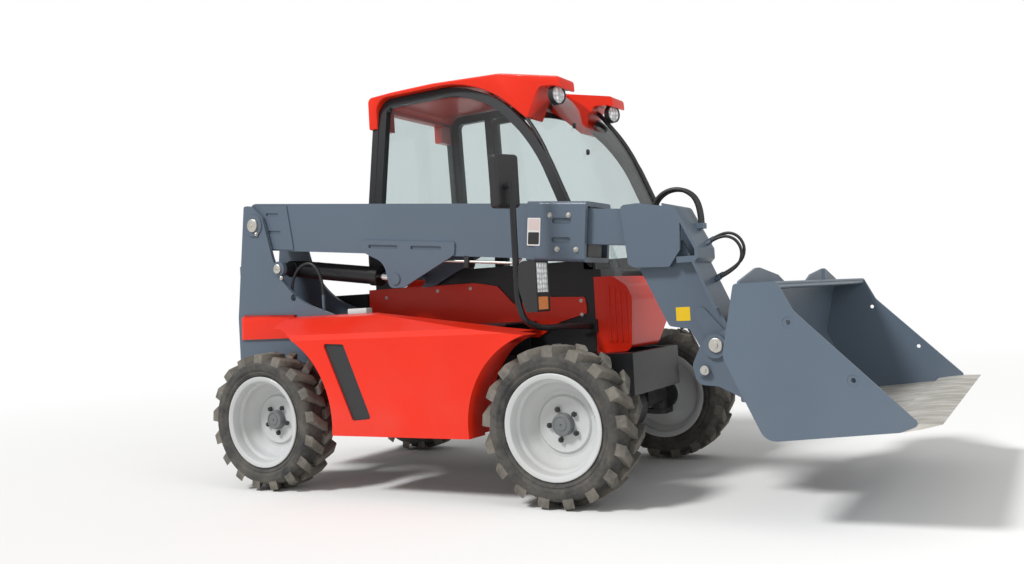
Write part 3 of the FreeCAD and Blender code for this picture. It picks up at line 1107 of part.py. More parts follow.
def make_cab():
    shell = cab_solid(0).cut(cab_solid(CAB_WALL))
    middle_y = (CAB_RIGHT_Y + CAB_LEFT_Y) / 2
    right_window = window_cut(PILLAR, CAB_REAR_X + PILLAR, SILL, CAB_RIGHT_Y - 10, middle_y)
    door_in = CAB_LEFT_TOP_Y - CAB_WALL
    quarter = box(CAB_REAR_X + PILLAR, DOOR_REAR_X - 50, door_in, CAB_LEFT_Y + 10, SILL,
                  CAB_TOP - PILLAR)
    door_hole = window_cut(PILLAR, DOOR_REAR_X, DOOR_BOTTOM, door_in, CAB_LEFT_Y + 10)
    front_hole = box(WHEELBASE - 635, WHEELBASE + 165, CAB_RIGHT_Y + PILLAR + 55,
                     CAB_LEFT_TOP_Y - PILLAR, SILL, CAB_TOP - PILLAR)
    back_hole = box(CAB_REAR_X - 10, CAB_REAR_X + 120, CAB_RIGHT_TOP_Y + PILLAR - 30,
                    CAB_LEFT_TOP_Y - PILLAR + 20, SILL, CAB_TOP - PILLAR)
    frame = shell
    for hole in (right_window, quarter, door_hole, front_hole, back_hole):
        frame = frame.cut(hole)
    hinge_x = DOOR_REAR_X - 10
    hinges = []
    for z in HINGE_HEIGHTS:
        top = z + HINGE_HEIGHT
        hinges.append(rod((hinge_x, HINGE_Y, z), (hinge_x, HINGE_Y, top), HINGE_RADIUS))
        hinges.append(box(hinge_x - 24, hinge_x, CAB_LEFT_Y - 2, HINGE_Y, z, top))
    export("cab_frame", fuse([frame] + hinges))

    pane = cab_solid(GLASS_INSET).cut(cab_solid(GLASS_INSET + GLASS))
    export("windscreen", largest(pane.common(front_hole)))
    export("side_windows", together([
        largest(pane.common(hole)) for hole in (right_window, quarter, back_hole)]))

    door_shape = window_cut(PILLAR + DOOR_GAP, DOOR_REAR_X + DOOR_GAP, DOOR_BOTTOM + DOOR_GAP,
                            door_in, CAB_LEFT_Y + 10)
    door_window = window_cut(PILLAR + DOOR_GAP + 50, DOOR_REAR_X + DOOR_GAP + 50, SILL,
                             door_in, CAB_LEFT_Y + 10)
    skin = cab_solid(0).cut(cab_solid(CAB_WALL - 10))
    door = largest(skin.common(door_shape).cut(door_window))
    straps = []
    for z in HINGE_HEIGHTS:
        low = z - HINGE_HEIGHT - SEAT
        top = z - SEAT
        straps.append(rod((hinge_x, HINGE_Y, low), (hinge_x, HINGE_Y, top), HINGE_RADIUS))
        straps.append(box(hinge_x, DOOR_REAR_X + 50, HINGE_Y - 8, HINGE_Y, low, top))
        straps.append(box(DOOR_REAR_X + 10, DOOR_REAR_X + 50, CAB_LEFT_Y - 1, HINGE_Y, low, top))
    export("door", fuse([door] + straps))
    export("door_glass", largest(pane.common(door_window)))


def make_roof():
    """Roof cap with cut front corners for the work lamps."""
    front = ROOF_FRONT_X
    side = [(ROOF_REAR_X, CAB_TOP, 0), (ROOF_REAR_X, CAB_TOP + 70, 24),
            ((ROOF_REAR_X + front) / 2 + 165, CAB_TOP + ROOF_RISE, 300),
            (front, CAB_TOP + 75, 30), (front, CAB_TOP + 20, 10), (front - 135, CAB_TOP, 0)]
    right = CAB_RIGHT_TOP_Y - 12
    left = CAB_LEFT_TOP_Y + 12
    roof = sheet("xz", side, right, left)
    corner = [(front - 115, CAB_TOP - 50, 0), (front - 115, CAB_TOP + 35, 30),
              (front + 75, CAB_TOP + 35, 0), (front + 75, CAB_TOP - 50, 0)]
    roof = roof.cut(sheet("xz", corner, right - 1, right + 110))
    roof = roof.cut(sheet("xz", corner, left - 110, left + 1))
    export("cab_roof", roof)
    lamps = []
    for y in (right + 55, left - 55):
        lamp = rod((front - 79, y, CAB_TOP - 12), (front - 23, y, CAB_TOP - 16), ROOF_LAMP_RADIUS)
        stem = box(front - 85, front - 55, y - 8, y + 8, CAB_TOP + 10, CAB_TOP + 35)
        lamps.append(fuse([lamp, stem]))
    export("roof_lamps", together(lamps))


def make_lamp(y, sign):
    """Upright driving lamp with its indicator below; its housing and its lenses, from one side."""
    low = COVER_TOP + 33
    x = LAMP_BACK_X
    wide = sorted((y, y - sign * LAMP_WIDTH))
    housing = sheet("xz", shifted(x, low, [(0, 20, 24), (0, LAMP_HEIGHT, 30),
                                           (LAMP_DEPTH, LAMP_HEIGHT, 8), (LAMP_DEPTH, -75, 8),
                                           (30, -75, 14)]), wide[0], wide[1])
    window = box(x + LAMP_DEPTH - 14, x + LAMP_DEPTH + 1, wide[0] + 10, wide[1] - 10,
                 low + 8, low + LAMP_HEIGHT - 10)
    signal = box(x + LAMP_DEPTH - 14, x + LAMP_DEPTH + 1, wide[0] + 14, wide[1] - 14,
                 low - 66, low - 10)
    housing = housing.cut(window).cut(signal)
    front = x + LAMP_DEPTH - 2
    lens = box(x + LAMP_DEPTH - 14, front, wide[0] + 10 + SEAT, wide[1] - 10 - SEAT,
               low + 8 + SEAT, low + LAMP_HEIGHT - 10 - SEAT)
    amber = box(x + LAMP_DEPTH - 14, front, wide[0] + 14 + SEAT, wide[1] - 14 - SEAT,
                low - 66 + SEAT, low - 10 - SEAT)
    return housing, lens, amber


def make_lamps_and_mirror():
    """Bent arm out over the front tyre, with the right driving lamp and the mirror on it."""
    arm_x = WHEELBASE - 148
    arm_top = CAB_WAIST + 75
    route = [(WHEELBASE - 50, INNER_COVER_Y - COVER_WALL - SEAT, SILL - 265),
             (WHEELBASE - 78, -LAMP_Y * 0.5, SILL - 257),
             (WHEELBASE - 105, 115 - LAMP_Y, SILL - 252),
             (WHEELBASE - 122, -LAMP_Y, SILL - 215),
             (arm_x, -LAMP_Y, SILL - 130),
             (arm_x + 1, -LAMP_Y, arm_top)]
    arm = bent_bar(route, ARM_RADIUS)
    foot_y = route[0][1]
    plate = sheet("xz", shifted(route[0][0], route[0][2], [(-46, -34, 10), (-46, 34, 10),
                                                           (30, 34, 10), (30, -34, 10)]),
                  foot_y - 8, foot_y)
    arm_front = arm_x + ARM_RADIUS
    lamp_hold = box(arm_front - 4, arm_front, -LAMP_Y - 10, -LAMP_Y + 10, COVER_TOP + 60,
                    COVER_TOP + 110)
    turn = math.radians(MIRROR_TURN)
    back = Vec(math.cos(turn), math.sin(turn), 0)
    neck = rod((arm_x + 1, -LAMP_Y, arm_top - 6), tuple(Vec(arm_x + 1, -LAMP_Y, arm_top + 20)), 16)
    centre = Vec(arm_x - 6, -LAMP_Y + 18, arm_top + 30) - back * (MIRROR_DEPTH / 2 + 30)
    ball = Part.makeCylinder(13, 60, Vec(arm_x + 1, -LAMP_Y, arm_top + 6), back * -1)
    housing = box(-MIRROR_DEPTH / 2, MIRROR_DEPTH / 2, -MIRROR_WIDTH / 2, MIRROR_WIDTH / 2,
                  -MIRROR_HEIGHT / 2, MIRROR_HEIGHT / 2)
    round_edges = [edge for edge in housing.Edges if edge.BoundBox.XMin > 0]
    upright = [edge for edge in housing.Edges if edge.BoundBox.XLength > MIRROR_DEPTH / 2]
    housing = housing.makeFillet(MIRROR_DEPTH * 0.4, round_edges + upright)
    housing.rotate(Vec(0, 0, 0), Vec(0, 0, 1), MIRROR_TURN)
    housing.translate(centre)
    holder = fuse([arm, plate, lamp_hold, neck, ball.cut(housing)])
    export("mirror_arm", largest(holder.cut(housing)))
    export("mirror", housing)

    right = make_lamp(-LAMP_Y - 10, -1)
    forward = arm_front + SEAT - LAMP_BACK_X
    shapes = [[placed(shape, forward, 0, 0) for shape in right]]
    left = make_lamp(CAB_LEFT_Y - 20, 1)
    forward = SCREEN_BOTTOM[0] + SEAT - LAMP_BACK_X
    shapes.append([placed(shape, forward, 0, 0) for shape in left])
    for index, name in enumerate(("lamp_housings", "lamp_lenses", "indicators")):
        export(name, together([side[index] for side in shapes]))


def make_interior():
    front = SEAT_X + 440
    back_y = (STEER_Y - 190, STEER_Y + 190)
    cushion = box(SEAT_X, front, back_y[0], back_y[1], SEAT_TOP - 110, SEAT_TOP)
    back = box(SEAT_X - 90, SEAT_X + 10, back_y[0] + 10, back_y[1] - 10, SEAT_TOP - 80,
               SEAT_TOP + 500)
    export("seat", fuse([cushion, back]))
    export("seat_base", box(SEAT_X + 60, front - 60, STEER_Y - 140, STEER_Y + 140,
                            CAB_BOTTOM + CAB_WALL, SEAT_TOP - 110 - SEAT))
    foot_x, foot_z = COLUMN_FOOT
    top_x, top_z = COLUMN_TOP
    column = rod((foot_x, STEER_Y, foot_z), (top_x, STEER_Y, top_z), 28)
    inside_right = CAB_RIGHT_Y + CAB_WALL + 60
    dash = box(foot_x - 10, foot_x + 130, inside_right, CAB_LEFT_TOP_Y - 60, SILL - 210, SILL)
    pedestal = box(foot_x, foot_x + 90, inside_right, STEER_Y - 90, CAB_BOTTOM + CAB_WALL,
                   SILL - 210)
    export("dash", fuse([dash, pedestal, column]))


def make_steering_wheel():
    """Wheel with an eight-sided ring, on the column's top."""
    top_x, top_z = COLUMN_TOP
    way = Vec(top_x - COLUMN_FOOT[0], 0, top_z - COLUMN_FOOT[1])
    lean = math.degrees(math.atan2(way.x, way.z))
    section = []
    for index in range(8):
        turn = math.radians(45 * index + 22.5)
        section.append((WHEEL_RING + 14 * math.cos(turn), 40 + 14 * math.sin(turn), 0))
    pieces = [lathe(section), rod((0, 0, 0), (0, 52, 0), 26)]
    for angle in (90, 210, 330):
        turn = math.radians(angle)
        pieces.append(rod((0, 40, 0), (WHEEL_RING * math.sin(turn), 40,
                                       WHEEL_RING * math.cos(turn)), 9))
    wheel = fuse(pieces)
    wheel.rotate(Vec(0, 0, 0), Vec(1, 0, 0), 90)
    wheel.rotate(Vec(0, 0, 0), Vec(0, 1, 0), lean)
    foot = Vec(top_x, STEER_Y, top_z) + way.normalize() * SEAT
    export("steering_wheel", placed(wheel, foot.x, foot.y, foot.z))


solids = {}


def main():
    os.makedirs("parts", exist_ok=True)
    make_wheels()
    make_axles()
    make_steering()
    make_chassis()
    make_tower()
    make_outer_boom()
    make_collar()
    make_inner_boom()
    make_head()
    make_cylinders()
    make_hoses()
    make_carriage()
    make_bucket()
    make_pod()
    make_covers()
    make_cab()
    make_roof()
    make_lamps_and_mirror()
    make_interior()
    make_steering_wheel()
    for name in sorted(solids):
        shape = solids[name]
        print(name, len(shape.Solids), round(shape.Volume), shape.isValid())


main()
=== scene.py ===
import math

import bmesh
import bpy
from mathutils import Matrix, Vector


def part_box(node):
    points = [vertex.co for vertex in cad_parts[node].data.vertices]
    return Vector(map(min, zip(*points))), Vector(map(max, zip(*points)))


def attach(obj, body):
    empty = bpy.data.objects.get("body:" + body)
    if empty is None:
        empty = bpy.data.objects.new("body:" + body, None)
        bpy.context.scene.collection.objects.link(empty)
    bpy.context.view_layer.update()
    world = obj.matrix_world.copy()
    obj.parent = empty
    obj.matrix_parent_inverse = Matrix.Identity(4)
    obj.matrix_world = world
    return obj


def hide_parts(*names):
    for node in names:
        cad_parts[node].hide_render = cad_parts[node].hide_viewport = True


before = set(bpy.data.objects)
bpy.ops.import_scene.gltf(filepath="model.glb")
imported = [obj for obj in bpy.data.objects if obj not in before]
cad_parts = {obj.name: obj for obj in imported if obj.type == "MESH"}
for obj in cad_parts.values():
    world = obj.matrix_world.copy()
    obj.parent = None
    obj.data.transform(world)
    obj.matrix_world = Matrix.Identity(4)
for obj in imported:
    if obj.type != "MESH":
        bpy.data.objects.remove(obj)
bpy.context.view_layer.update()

# The camera stands low at the machine's right front corner, a little tilted, where the photograph
# was taken: 3.5 m ahead of the rear axle and 4.3 m to its right, 0.88 m up.
FOCAL_PIXELS = 962.54
PICTURE_PIXELS = 1024
SENSOR = 36.0
CAMERA_PLACE = (2.1313, -4.2902, 0.8812)
CAMERA_YAW, CAMERA_PITCH, CAMERA_ROLL = 0.5175, 0.020, -0.0548
lens = bpy.data.cameras.new("camera")
lens.sensor_width = SENSOR
lens.lens = FOCAL_PIXELS * SENSOR / PICTURE_PIXELS
camera = bpy.data.objects.new("camera", lens)
bpy.context.scene.collection.objects.link(camera)
bpy.context.scene.camera = camera
ahead = Vector((-math.sin(CAMERA_YAW) * math.cos(CAMERA_PITCH),
                math.cos(CAMERA_YAW) * math.cos(CAMERA_PITCH), math.sin(CAMERA_PITCH)))
sideways = Vector((math.cos(CAMERA_YAW), math.sin(CAMERA_YAW), 0))
upward = sideways.cross(ahead)
image_right = sideways * math.cos(CAMERA_ROLL) + upward * math.sin(CAMERA_ROLL)
image_up = upward * math.cos(CAMERA_ROLL) - sideways * math.sin(CAMERA_ROLL)
stance = Matrix((image_right, image_up, -ahead)).transposed().to_4x4()
stance.translation = CAMERA_PLACE
camera.matrix_world = stance

# Five hydraulic hoses in black wire-braided rubber, pressed into fittings at both ends: two arch
# over the boom's head, two loop down in front of it to the tool, and one stands beside the lift
# cylinder.
REAR_AXLE = -1.3765
HEAD = (0.3305, 1.1753)
NEAR_DROP = 0.016
HEAD_HOSE_RADIUS, TOOL_HOSE_RADIUS, TOWER_HOSE_RADIUS = 0.01, 0.0065, 0.008
TOWER_HOSE_Y = -0.435


class Socket:
    """One output of a material's node; sums on it add Math nodes."""

    def __init__(self, finish, output):
        self.finish = finish
        self.output = output

    def maths(self, operation, *values):
        return self.finish.node("ShaderNodeMath", {"operation": operation}, values)

    def __add__(self, other):
        return self.maths("ADD", self, other)

    def __rsub__(self, other):
        return self.maths("SUBTRACT", other, self)

    def __mul__(self, other):
        return self.maths("MULTIPLY", self, other)

    __radd__ = __add__
    __rmul__ = __mul__


class Finish:
    """A material being built; node() adds one node with its settings, then its values or links."""

    def __init__(self, name):
        self.material = bpy.data.materials.new(name)
        self.material.use_nodes = True
        self.tree = self.material.node_tree
        self.tree.nodes.clear()
        self.place = self.node("ShaderNodeTexCoord", output="Object")

    def node(self, kind, settings=None, values=(), output=0):
        added = self.tree.nodes.new(kind)
        for key, value in (settings or {}).items():
            setattr(added, key, value)
        for key, value in (values.items() if isinstance(values, dict) else enumerate(values)):
            if isinstance(value, Socket):
                self.tree.links.new(value.output, added.inputs[key])
            else:
                added.inputs[key].default_value = value
        return Socket(self, added.outputs[output])

    def noise(self, scale, detail=3.0, stretch=(1, 1, 1)):
        """Cloudy noise from 0 to 1, stretched along the axes."""
        place = self.node("ShaderNodeMapping", None, {"Vector": self.place, "Scale": stretch})
        return self.node("ShaderNodeTexNoise", None,
                         {"Vector": place, "Scale": scale, "Detail": detail})

    def mix(self, share, first, second):
        """Colour between two, by a share."""
        return self.node("ShaderNodeMix", {"data_type": "RGBA"}, {0: share, 6: first, 7: second}, 2)

    def clip(self, value, low, high):
        """Value spread so that low gives 0 and high gives 1, and held there."""
        return self.node("ShaderNodeMapRange", {"clamp": True},
                         {"Value": value, "From Min": low, "From Max": high})

    def bump(self, height, strength, distance=0.001):
        return self.node("ShaderNodeBump", None,
                         {"Height": height, "Strength": strength, "Distance": distance})

    def surface(self, **sockets):
        """Ends the material with a principled shader and gives the material back."""
        values = {key.replace("_", " "): value for key, value in sockets.items()}
        shader = self.node("ShaderNodeBsdfPrincipled", None, values)
        self.node_output(shader)
        return self.material

    def node_output(self, shader):
        end = self.tree.nodes.new("ShaderNodeOutputMaterial")
        self.tree.links.new(shader.output, end.inputs["Surface"])


def hose(name, route, radius, body):
    """One hose along its route, with capped ends, that rides on a body."""
    line = bpy.data.curves.new(name, "CURVE")
    line.dimensions = "3D"
    line.bevel_depth = 1
    line.bevel_resolution = 5
    line.resolution_u = 10
    line.use_fill_caps = True
    spline = line.splines.new("NURBS")
    spline.points.add(len(route) - 1)
    for point, place in zip(spline.points, route):
        point.co = (*place, 1)
        point.radius = radius
    spline.order_u = 3
    spline.use_endpoint_u = True
    piece = bpy.data.objects.new(name + "_line", line)
    bpy.context.scene.collection.objects.link(piece)
    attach(piece, body)
    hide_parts(name)
    return piece


head_route = [(0.243, -0.001), (0.243, 0.09), (0.308, 0.156), (0.4, 0.156), (0.465, 0.09),
              (0.465, -0.001)]
tool_route = [(0.51, -0.068), (0.554, -0.046), (0.611, -0.06), (0.642, -0.109), (0.633, -0.166),
              (0.583, -0.206), (0.543, -0.224)]
tower_route = [(-0.03, 0.962), (-0.03, 1.022), (-0.004, 1.088), (0.052, 1.136), (0.127, 1.138),
               (0.184, 1.05), (0.184, 0.968)]
hoses = []
for name, y in (("head_hose_left", -0.245), ("head_hose_right", -0.272)):
    hoses.append(hose(name, [(HEAD[0] + x, y, HEAD[1] + z) for x, z in head_route],
                      HEAD_HOSE_RADIUS, "telescope"))
for name, y, drop in (("tool_hose_left", -0.236, 0), ("tool_hose_right", -0.28, NEAR_DROP)):
    hoses.append(hose(name, [(HEAD[0] + x, y, HEAD[1] + z - drop) for x, z in tool_route],
                      TOOL_HOSE_RADIUS, "telescope"))
hoses.append(hose("tower_hose", [(REAR_AXLE + x, TOWER_HOSE_Y, z) for x, z in tower_route],
                  TOWER_HOSE_RADIUS, "chassis"))
sheath = Finish("hose_rubber")
hose_rubber = sheath.surface(Base_Color=sheath.mix(sheath.noise(40.0), (0.010, 0.010, 0.011, 1),
                                                   (0.020, 0.020, 0.021, 1)),
                             Roughness=0.42 + sheath.noise(80.0) * 0.15)
for piece in hoses:
    piece.data.materials.append(hose_rubber)

# The ground is a pale level floor that turns white with distance, lit by a white sky, one broad
# soft sun high on the camera's left, as in the photograph, and a weak fill ahead of the machine.
GROUND_RADIUS = 60
WHITE_FROM, WHITE_TO = 3.4, 9.0
SKY_LIGHT = 0.56
floor_mesh = bpy.data.meshes.new("ground")
disc = bmesh.new()
bmesh.ops.create_circle(disc, cap_ends=True, segments=96, radius=GROUND_RADIUS)
disc.to_mesh(floor_mesh)
disc.free()
ground = bpy.data.objects.new("ground", floor_mesh)
bpy.context.scene.collection.objects.link(ground)
pale = Finish("pale_ground")
distance = pale.node("ShaderNodeVectorMath", {"operation": "LENGTH"}, (pale.place,), "Value")
far = pale.clip(distance, WHITE_FROM, WHITE_TO)
seen = pale.node("ShaderNodeLightPath", output="Is Camera Ray")
rough = pale.node("ShaderNodeBsdfDiffuse", None, {"Color": (0.80, 0.80, 0.79, 1)})
white = pale.node("ShaderNodeEmission", None, {"Color": (1, 1, 1, 1), "Strength": 1.0})
pale.node_output(pale.node("ShaderNodeMixShader", None, (far * seen, rough, white)))
floor_mesh.materials.append(pale.material)

sky = bpy.data.worlds.new("sky")
bpy.context.scene.world = sky
sky.use_nodes = True
sky.node_tree.nodes.clear()
path = sky.node_tree.nodes.new("ShaderNodeLightPath")
either = sky.node_tree.nodes.new("ShaderNodeMath")
either.operation = "MAXIMUM"
sky.node_tree.links.new(path.outputs["Is Camera Ray"], either.inputs[0])
sky.node_tree.links.new(path.outputs["Is Transmission Ray"], either.inputs[1])
bright = sky.node_tree.nodes.new("ShaderNodeMapRange")
bright.inputs["To Min"].default_value = SKY_LIGHT
sky.node_tree.links.new(either.outputs[0], bright.inputs["Value"])
light = sky.node_tree.nodes.new("ShaderNodeBackground")
sky.node_tree.links.new(bright.outputs[0], light.inputs["Strength"])
light.inputs["Color"].default_value = (1, 1, 1, 1)
end = sky.node_tree.nodes.new("ShaderNodeOutputWorld")
sky.node_tree.links.new(light.outputs[0], end.inputs[0])
bpy.context.scene.view_settings.view_transform = "Standard"


def lamp(name, kind, energy, place, aim, **sizes):
    """A light of one kind at a place, turned to what it aims at."""
    data = bpy.data.lights.new(name, kind)
    data.energy = energy
    for key, value in sizes.items():
        setattr(data, key, value)
    source = bpy.data.objects.new(name, data)
    source.location = place
    source.rotation_euler = (Vector(aim) - Vector(place)).to_track_quat("-Z", "Y").to_euler()
    bpy.context.scene.collection.objects.link(source)


lamp("sun", "SUN", 2.5, (-3.0, -5.5, 7.0), (0, 0, 0), angle=0.22)
lamp("front_fill", "AREA", 90, (5.5, -2.0, 3.5), (0.5, 0, 0.8), size=3.0)

# Wheels: rims of pressed and welded steel with a stepped well, sprayed silver grey, each held by
# five nuts round a dark hub cap. The tyre's valve stands in the well.
FRONT_AXLE = 0.2585
WHEELS = {"front_right": (FRONT_AXLE, -1, 94), "front_left": (FRONT_AXLE, 1, 80),
          "rear_right": (REAR_AXLE, -1, 112), "rear_left": (REAR_AXLE, 1, 60)}
AXLE_HEIGHT = 0.345
WHEEL_Y = 0.6375
DISC = -0.0235
NUT_COUNT, NUT_RING = 5, 0.068
NUT_SIZE, NUT_HEIGHT, NUT_RISE = 0.0125, 0.013, 0.004
VALVE_RING, VALVE_TURN = 0.168, 190
DUST = (0.36, 0.33, 0.28, 1)


def coat(name, colour, gloss, dust, ripple=0.04):
    """Sprayed paint with road dust on what faces up or lies near the ground."""
    paint = Finish(name)
    normal = paint.node("ShaderNodeNewGeometry", output="Normal")
    upturned = paint.node("ShaderNodeSeparateXYZ", None, (normal,), "Z")
    height = paint.node("ShaderNodeSeparateXYZ", None, (paint.place,), "Z")
    low = paint.clip(height, 0.75, 0.2)
    settled = paint.clip(upturned, 0.5, 1.0)
    cloud = paint.clip(paint.noise(4.0, 5.0), 0.42, 0.8)
    mask = (low * 0.8 + settled * 0.5) * cloud * dust
    shade = paint.mix(paint.clip(paint.noise(1.6, 2.0), 0.3, 0.7),
                      [*(part * 0.92 for part in colour), 1], [*colour, 1])
    return paint.surface(
        Base_Color=paint.mix(mask, shade, DUST),
        Roughness=gloss + paint.noise(30.0) * 0.06 + mask * 0.5,
        Coat_Weight=0.08 - mask * 0.08,
        Specular_IOR_Level=0.32,
        Normal=paint.bump(paint.noise(260.0, 1.0), ripple))


def dress(material, *names):
    """Gives CAD nodes a material, with their meshes as they are."""
    for name in names:
        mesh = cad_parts[name].data
        mesh.materials.clear()
        mesh.materials.append(material)


def made(name, shape, materials, body, slot, *nodes, sharp=32):
    """Finishes a shape as a piece that rides on a body and stands for some CAD nodes."""
    mesh = bpy.data.meshes.new(name)
    bmesh.ops.recalc_face_normals(shape, faces=shape.faces[:])
    for face in shape.faces:
        face.smooth = True
    shape.to_mesh(mesh)
    shape.free()
    mesh.set_sharp_from_angle(angle=math.radians(sharp))
    for material in materials:
        mesh.materials.append(material)
    piece = bpy.data.objects.new(name, mesh)
    bpy.context.scene.collection.objects.link(piece)
    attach(piece, body)
    if nodes:
        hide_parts(*nodes)
    return piece


def turned(outline, steps=48):
    """Outline of (radius, along) turned about the Y axis."""
    shape = bmesh.new()
    points = [shape.verts.new((radius, along, 0)) for radius, along in outline]
    lines = [shape.edges.new(pair) for pair in zip(points, points[1:])]
    bmesh.ops.spin(shape, geom=points + lines, cent=(0, 0, 0), axis=(0, 1, 0),
                   angle=2 * math.pi, steps=steps, use_merge=True)
    bmesh.ops.remove_doubles(shape, verts=shape.verts[:], dist=0.00001)
    return shape


def add(shape, part, *places, index=0):
    """Copies a part into a shape at each place and frees it."""
    spare = bpy.data.meshes.new("spare")
    for face in part.faces:
        face.material_index = index
    for place in places or (Matrix(),):
        part.to_mesh(spare)
        spare.transform(place)
        shape.from_mesh(spare)
    part.free()
    bpy.data.meshes.remove(spare)


def about(angle, radius, along):
    """Place on a wheel: an angle round the axle from straight up, a radius and a level."""
    return (Matrix.Rotation(math.radians(angle), 4, "Y")
            @ Matrix.Translation((0, along, radius)))


def eased(shape, edges, reach, segments=2):
    """Rounds some edges of a shape."""
    bmesh.ops.bevel(shape, geom=edges, offset=reach, segments=segments, affect="EDGES",
                    profile=0.5, material=-1)


def hex_nut(corner, height):
    """Nut with rounded corners on top, standing on the XZ plane, with its stud's end."""
    shape = bmesh.new()
    bmesh.ops.create_cone(shape, cap_ends=True, segments=6, radius1=corner, radius2=corner,
                          depth=height, matrix=Matrix.Translation((0, 0, height / 2)))
    rims = [edge for edge in shape.edges if edge.calc_length() < corner * 1.1
            and min(point.co.z for point in edge.verts) > height / 2]
    eased(shape, rims, corner * 0.16)
    add(shape, turned([(corner * 0.5, 0), (corner * 0.5, height * 1.25),
                       (corner * 0.38, height * 1.4), (0, height * 1.4)], 12),
        Matrix.Rotation(math.radians(90), 4, "X"))
    shape.transform(Matrix.Rotation(math.radians(-90), 4, "X"))
    return shape


silver = coat("silver_coat", (0.54, 0.555, 0.555), 0.34, 0.35)
hub_grey = coat("hub_coat", (0.15, 0.16, 0.165), 0.4, 0.3)
nut_black = coat("nut_coat", (0.03, 0.031, 0.033), 0.4, 0.2)
zinc = Finish("zinc_plate")
plated = zinc.surface(Base_Color=zinc.mix(zinc.noise(25.0), (0.50, 0.50, 0.49, 1),
                                          (0.66, 0.63, 0.55, 1)),
                      Metallic=0.9, Roughness=0.3 + zinc.noise(60.0) * 0.2)
RIM = [(0, DISC), (0.085, DISC), (0.110, -0.0225), (0.117, -0.0195), (0.122, -0.0215),
       (0.127, -0.0275), (0.142, -0.027), (0.151, -0.018), (0.160, -0.006), (0.174, 0.004),
       (0.181, 0.018), (0.185, 0.038), (0.197, 0.050), (0.1995, 0.078), (0.204, 0.0905),
       (0.215, 0.0965), (0.2245, 0.0975), (0.2275, 0.0955), (0.2275, 0.0915), (0.208, 0.0885),
       (0.2045, 0.078), (0.2035, 0.048), (0.190, 0.034), (0.187, 0.014), (0.181, -0.002),
       (0.181, -0.03), (0.190, -0.05), (0.204, -0.062), (0.2045, -0.082), (0.2275, -0.0915),
       (0.2275, -0.0975), (0.216, -0.0965), (0.200, -0.086), (0.197, -0.066), (0.182, -0.055),
       (0.172, -0.036), (0.150, -0.033), (0.076, -0.035), (0.075, -0.055), (0, -0.055)]
CAP = [(0.049, DISC), (0.047, 0.006), (0.044, 0.0105), (0.037, 0.0118), (0.035, 0.009),
       (0.025, 0.009), (0.023, 0.0118), (0.006, 0.0118), (0.004, 0.008), (0, 0.008)]
for corner, (x, side, turn) in WHEELS.items():
    centre = Matrix.Translation((x, side * WHEEL_Y, AXLE_HEIGHT))
    if side < 0:
        centre = centre @ Matrix.Rotation(math.pi, 4, "Z")
    rim = turned(RIM, 72)
    nuts = [about(turn + 360 / NUT_COUNT * index, NUT_RING, DISC) for index in range(NUT_COUNT)]
    add(rim, turned([(0.0155, 0), (0.0125, 0.005), (0, 0.005)], 24), *nuts)
    add(rim, turned([(0.007, -0.012), (0.007, 0.004), (0.004, 0.006), (0.004, 0.024),
                     (0.005, 0.025), (0.005, 0.032), (0, 0.033)], 12),
        about(turn + VALVE_TURN, VALVE_RING, 0.0))
    rim.transform(centre)
    made("wheel_" + corner, rim, [silver], "wheel_" + corner, "rim_paint", "rim_" + corner)
    cap = turned(CAP, 40)
    cap.transform(centre)
    made("hub_cap_" + corner, cap, [hub_grey], "wheel_" + corner, "rim_paint")
    fastening = bmesh.new()
    add(fastening, hex_nut(NUT_SIZE, NUT_HEIGHT),
        *(place @ Matrix.Translation((0, NUT_RISE, 0)) for place in nuts))
    fastening.transform(centre)
    made("wheel_nuts_" + corner, fastening, [nut_black], "wheel_" + corner, "plated")

# Tractor tyres: a ribbed carcass with seventeen swept lugs on each side, moulded in one. The
# rubber is dark at the sidewalls, and dried dust makes the worn lugs a pale brown.
CARCASS = [(0.206, 0.055), (0.207, 0.082), (0.216, 0.0875), (0.231, 0.088), (0.236, 0.093),
           (0.244, 0.098), (0.247, 0.0995), (0.250, 0.099), (0.253, 0.0975), (0.262, 0.1035),
           (0.266, 0.1055), (0.269, 0.105), (0.283, 0.1065), (0.293, 0.1045), (0.303, 0.097),
           (0.310, 0.084), (0.315, 0.062), (0.3175, 0.030), (0.318, 0)]
LUG_COUNT = 17
LUG_TOP, LUG_BASE = 0.042, 0.056
LUG_LENGTH = 0.1095
LUG_SWEEP, LUG_CURVE = 0.066, 1.15
LUG_SPREAD = 0.006
LUG_OVERLAP, LUG_SLANT = 0.006, 0.007
LUG_FOOT, FOOT_FALL = 0.294, 0.014
LUG_HEIGHT, SHOULDER_HEIGHT = 0.051, 0.0105
TREAD_RADIUS = 0.34


def lug(side):
    """One lug from the tread's middle to a shoulder, bent round the tyre's top."""
    shape = bmesh.new()
    bmesh.ops.create_cube(shape, size=1)
    lengthways = [edge for edge in shape.edges
                  if abs(edge.verts[0].co.y - edge.verts[1].co.y) > 0.5]
    bmesh.ops.subdivide_edges(shape, edges=lengthways, cuts=4, use_grid_fill=True)
    upper = [edge for edge in shape.edges
             if min(point.co.z for point in edge.verts) > 0.4
             and (abs(edge.verts[0].co.x - edge.verts[1].co.x) < 0.1
                  or abs(edge.verts[0].co.y) > 0.45)]
    eased(shape, upper, 0.09)
    for point in shape.verts:
        share = point.co.y + 0.5
        level = point.co.z + 0.5
        width = LUG_BASE + (LUG_TOP - LUG_BASE) * level + LUG_SPREAD * share
        along = share * LUG_LENGTH - LUG_OVERLAP - LUG_SLANT * share * level
        radius = LUG_FOOT - FOOT_FALL * share + (LUG_HEIGHT + SHOULDER_HEIGHT * share) * level
        angle = (point.co.x * width - LUG_SWEEP * share ** LUG_CURVE) / TREAD_RADIUS
        point.co = (radius * math.sin(angle), side * along, radius * math.cos(angle))
    return shape


